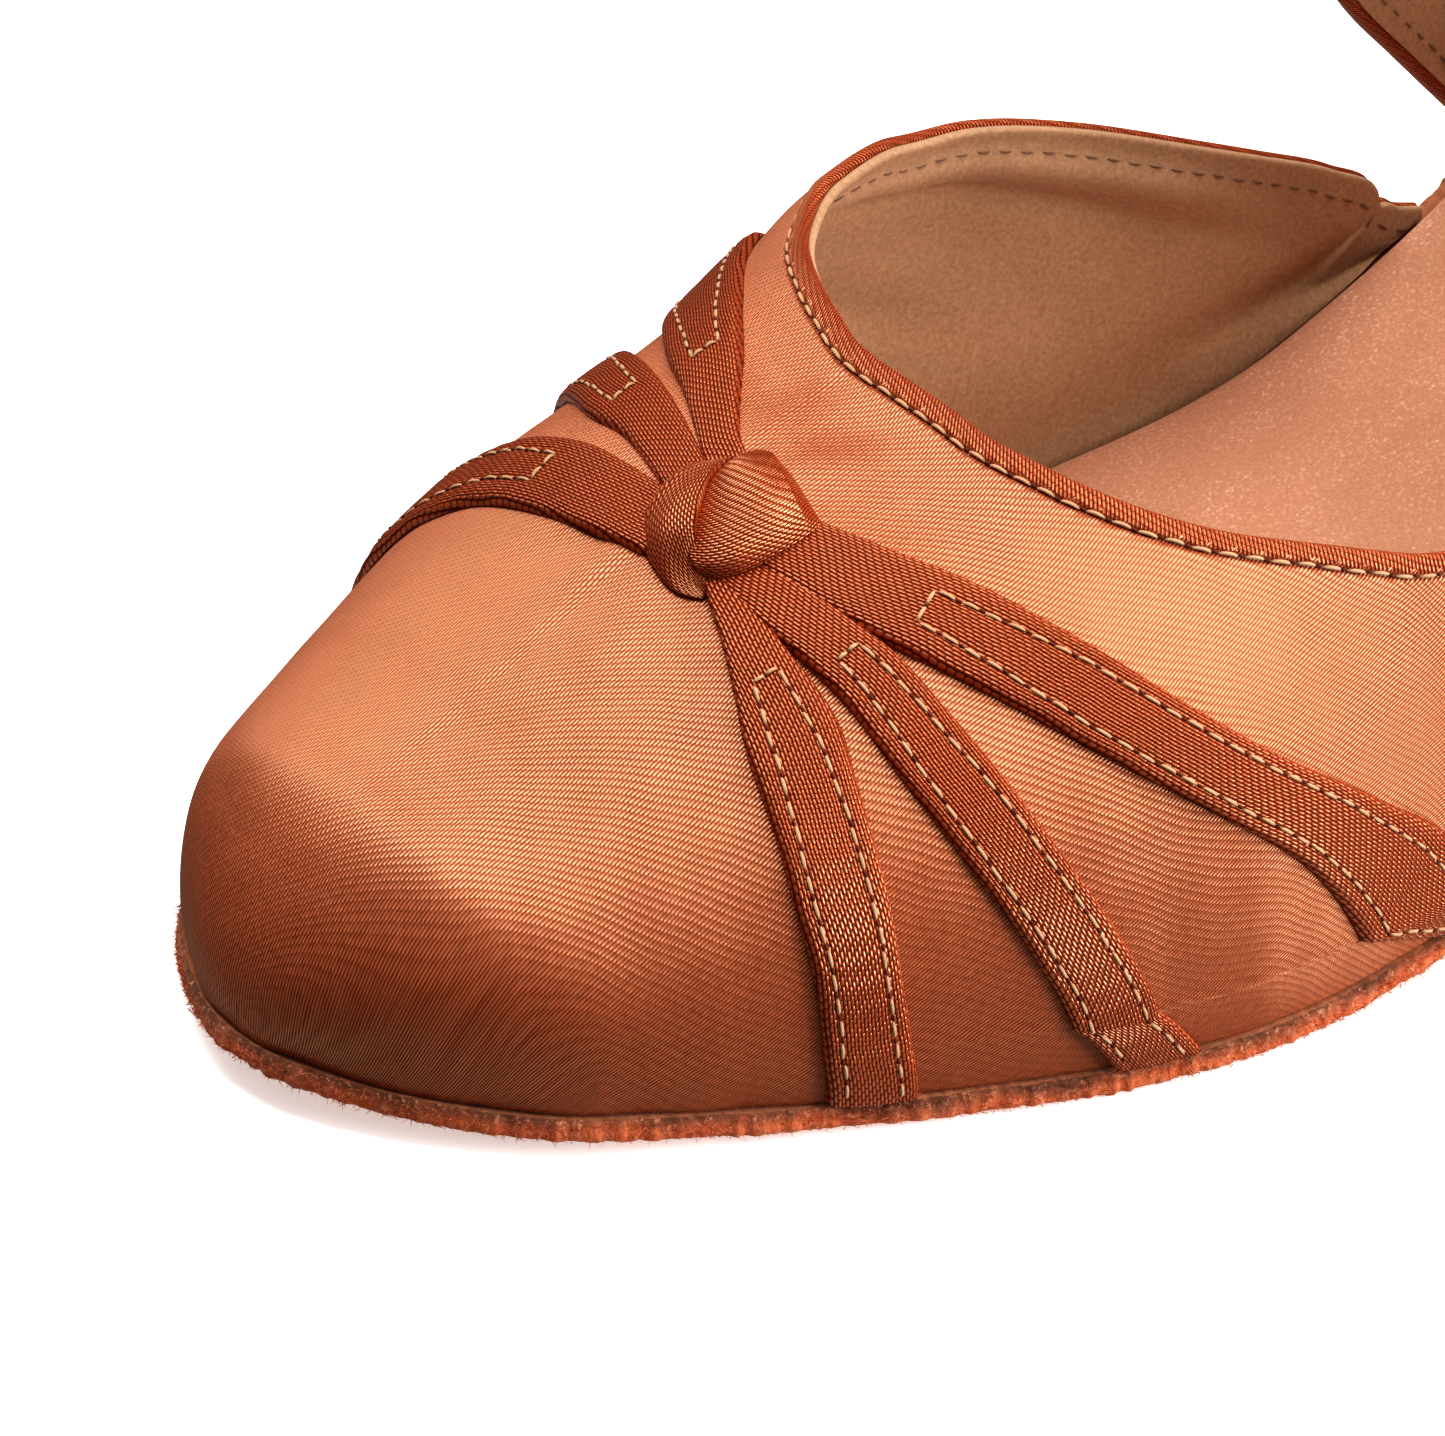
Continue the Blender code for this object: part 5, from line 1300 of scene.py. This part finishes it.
# Heel
def make_heel():
    top = seat_ring(96)
    rings = []
    foot = TIP_HIGH + GAP
    for share in np.concatenate([np.linspace(0, 0.06, 5), np.linspace(0.08, 1.0, 44)]):
        front, back = (float(smooth(HEEL_SHAPE, k, share)) * LENGTH for k in (1, 2))
        half = float(smooth(HEEL_SHAPE, 3, share)) * BALL_HALF
        mix = min(1.0, share / 0.30) ** 0.8
        squeezed = top.copy()
        squeezed[:, 0] = front + (top[:, 0] - BREAST) / (HEEL_SHAPE[0][2] * LENGTH - BREAST) * (back - front)
        squeezed[:, 1] *= half / (HEEL_SHAPE[0][3] * BALL_HALF)
        plan = squeezed * (1 - mix) + heel_ring(front, back, half, 96) * mix
        seat_high = feather(np.clip(top[:, 0], 0, LENGTH)) - GAP
        rings.append(np.concatenate([plan, (seat_high * (1 - share) + foot * share)[:, None]], -1))
    grid = np.array(rings)
    middle = grid.mean(1, keepdims=True)
    grid = np.concatenate([middle[:1] + (grid[:1] - middle[:1]) * 0.02, middle[:1] + (grid[:1] - middle[:1]) * 0.97,
                           grid, middle[-1:] + (grid[-1:] - middle[-1:]) * 0.97,
                           middle[-1:] + (grid[-1:] - middle[-1:]) * 0.02])
    grid[0, :, 2] = grid[1, :, 2].min()
    uv = np.stack([run_length(grid), run_length(grid, 1)], -1)
    add_grid("heel", grid, uv, vamp_satin, ("heel",), wrap=True)
    tip = heel_ring(HEEL_SHAPE[-1][1] * LENGTH, HEEL_SHAPE[-1][2] * LENGTH, HEEL_SHAPE[-1][3] * BALL_HALF, 96)
    centre = tip.mean(0)
    levels = ((0.02, TIP_HIGH), (0.985, TIP_HIGH), (1.0, TIP_HIGH - 0.25), (1.0, 0.9), (0.985, 0.25), (0.955, 0.0),
              (0.02, 0.0))
    grid = np.array([np.concatenate([centre + (tip - centre) * k, np.full((len(tip), 1), z)], -1) for k, z in levels])
    uv = np.stack([run_length(grid), run_length(grid, 1)], -1)
    add_grid("heel_tip", grid, uv, tip_rubber, ("heel_tip",), wrap=True)


# Instep strap and buckle
def make_strap():
    total, marks, keyed = strap_line()
    bar = marks[9] - 2.2
    stops = np.linspace(0.5, total - 0.5, 150)
    lanes = np.linspace(-0.5, 0.5, 19)
    t = lanes[:, None] + 0.5
    body = (1 - np.abs(2 * t - 1) ** 8) ** 0.5
    flat = np.array([[strap_flat(keyed, a, w * STRAP_WIDE) for a in stops] for w in lanes])
    surface, out = skin(flat), skin_out(flat)
    groove = -0.12 * (bell(t * STRAP_WIDE, 1.5, 0.35) + bell((1 - t) * STRAP_WIDE, 1.5, 0.35))
    high = surface + out * (GAP + (STRAP_THICK + groove) * body)[..., None]
    low = surface + out * GAP
    shape = np.concatenate([low, high[::-1]])
    along, across = run_length(shape, 1), run_length(shape)
    uv = np.stack([along, across], -1)
    add_grid("instep_strap", np.concatenate([shape, shape[:1]]), np.concatenate([uv, uv[-1:] + [0, 1]]), vamp_satin,
             ("instep_strap",), flip=True)
    for k in (3, len(lanes) - 4):
        sewn_row(f"instep_strap_stitches_{k}", high[k] + out[k] * 0.05, out[k], STITCH_PITCH, 1.6, 0.18, pale_thread,
                 1.0)
    make_buckle(keyed, bar)


def strap_flat(keyed, at, across_mm):
    flat, _, _, across, _ = strap_frame(keyed, at)
    e = 0.03
    j = np.stack([(skin(flat + [e, 0]) - skin(flat - [e, 0])) / (2 * e),
                  (skin(flat + [0, e]) - skin(flat - [0, e])) / (2 * e)], -1)
    return flat + np.linalg.lstsq(j, across * across_mm, rcond=None)[0]


def round_tube(name, path, radius, plane, closed, replaced, sides=20):
    path = np.array(path, float)
    if closed:
        direction = unit(np.roll(path, -1, 0) - np.roll(path, 1, 0))
    else:
        direction = unit(np.gradient(path, axis=0))
    side = unit(np.cross(direction, plane))
    lift = np.cross(side, direction)
    turn = np.linspace(0, 2 * math.pi, sides, endpoint=False)
    grid = (path[:, None] + radius * (side[:, None] * np.cos(turn)[None, :, None]
                                      + lift[:, None] * np.sin(turn)[None, :, None]))
    if closed:
        grid = np.concatenate([grid, grid[:1]])
    else:
        grid = np.concatenate([path[:1, None] + (grid[:1] - path[:1, None]) * 0.05, grid,
                               path[-1:, None] + (grid[-1:] - path[-1:, None]) * 0.05])
    uv = np.stack([run_length(grid), run_length(grid, 1)], -1)
    add_grid(name, grid, uv, buckle_metal, (replaced,), wrap=True, flip=True)


def make_buckle(keyed, bar_at):
    _, heel_bar, _, _, out = strap_frame(keyed, bar_at)
    _, front_point, _, _, front_out = strap_frame(keyed, bar_at - BUCKLE_LONG)
    heel_bar = heel_bar - out * (WIRE / 2 + 0.1)
    front_bar = front_point + front_out * (GAP + STRAP_THICK + GAP + WIRE / 2)
    along = front_bar - heel_bar
    long = np.linalg.norm(along)
    along /= long
    up = unit(out - along * float(out @ along))
    across = np.cross(up, along)
    half, corner = STRAP_WIDE / 2 + 0.45 + WIRE / 2, 1.6
    path = []
    for cx, cy, start in ((long - corner, half - corner, 0), (corner, half - corner, 90),
                          (corner, -half + corner, 180), (long - corner, -half + corner, 270)):
        for k in range(10):
            a = math.radians(start + 10 * k)
            path.append(heel_bar + along * (cx + corner * math.cos(a)) + across * (cy + corner * math.sin(a)))
    round_tube("buckle_frame", path, WIRE / 2, up, True, "buckle_frame")
    prong = curve_through([(x * BUCKLE_LONG, z) for x, z in PRONG], 40)
    round_tube("buckle_prong", [heel_bar + along * x + up * z for x, z in prong], 0.5, across, False, "buckle_prong")


# Studio: one big softbox overhead and weak fill, so the satin's front and low sides stay dark
SKY = tuple((place, (light, light, light)) for place, light in (
    (0.0, 0.60), (0.17, 0.52), (0.30, 0.14), (0.50, 0.07), (0.66, 0.12), (0.85, 0.38), (1.0, 0.50)))
LAMPS = (  # name, place in metres, width and height, watts
    ("overhead", (-0.04, 0.10, 1.0), (0.42, 1.2), 9.5),
    ("rear", (0.02, 1.25, 0.85), (0.6, 0.6), 2.5),
    ("heel_side", (0.90, -1.00, 0.15), (0.9, 0.26), 14.0),
    ("front", (0.35, -0.95, 0.60), (0.6, 0.5), 4.0),
)


def make_studio():
    material, tree, shader = new_material("studio_floor")
    shader.inputs["Base Color"].default_value = (0.95, 0.95, 0.95, 1.0)
    shader.inputs["Emission Color"].default_value = (1.0, 1.0, 1.0, 1.0)
    shader.inputs["Emission Strength"].default_value = 0.35
    shader.inputs["Roughness"].default_value = 0.9
    mesh = bpy.data.meshes.new("studio_floor")
    reach = 6.0
    mesh.from_pydata([(-reach, -reach, 0), (reach, -reach, 0), (reach, reach, 0), (-reach, reach, 0)], [],
                     [(0, 1, 2, 3)])
    mesh.materials.append(material)
    floor = bpy.data.objects.new("studio_floor", mesh)
    floor.location.z = -0.0001
    floor.visible_diffuse = floor.visible_glossy = False
    bpy.context.scene.collection.objects.link(floor)
    world = bpy.data.worlds.new("studio")
    world.use_nodes = True
    tree = world.node_tree
    split = tree.nodes.new("ShaderNodeSeparateXYZ")
    tree.links.new(tree.nodes.new("ShaderNodeTexCoord").outputs["Generated"], split.inputs[0])
    level = calc(tree, "ADD", calc(tree, "MULTIPLY", split.outputs[2], 0.5), 0.5)
    tree.links.new(ramp(tree, level, SKY), tree.nodes["Background"].inputs[0])
    bpy.context.scene.world = world
    for name, place, size, power in LAMPS:
        data = bpy.data.lights.new(name, "AREA")
        data.shape = "RECTANGLE"
        data.size, data.size_y = size
        data.energy = power
        lamp = bpy.data.objects.new(name, data)
        lamp.location = place
        aim = Vector((-0.01, 0.0, 0.02)) - Vector(place)
        lamp.rotation_euler = aim.to_track_quat("-Z", "Y").to_euler()
        bpy.context.scene.collection.objects.link(lamp)
    bpy.context.scene.view_settings.view_transform = "Standard"
    bpy.context.scene.view_settings.look = "High Contrast"


make_camera()
make_studio()
make_vamp()
for ribbon in RIBBONS:
    make_ribbon(ribbon)
make_knot()
make_outsole()
make_insole()
make_counter()
make_heel()
make_strap()
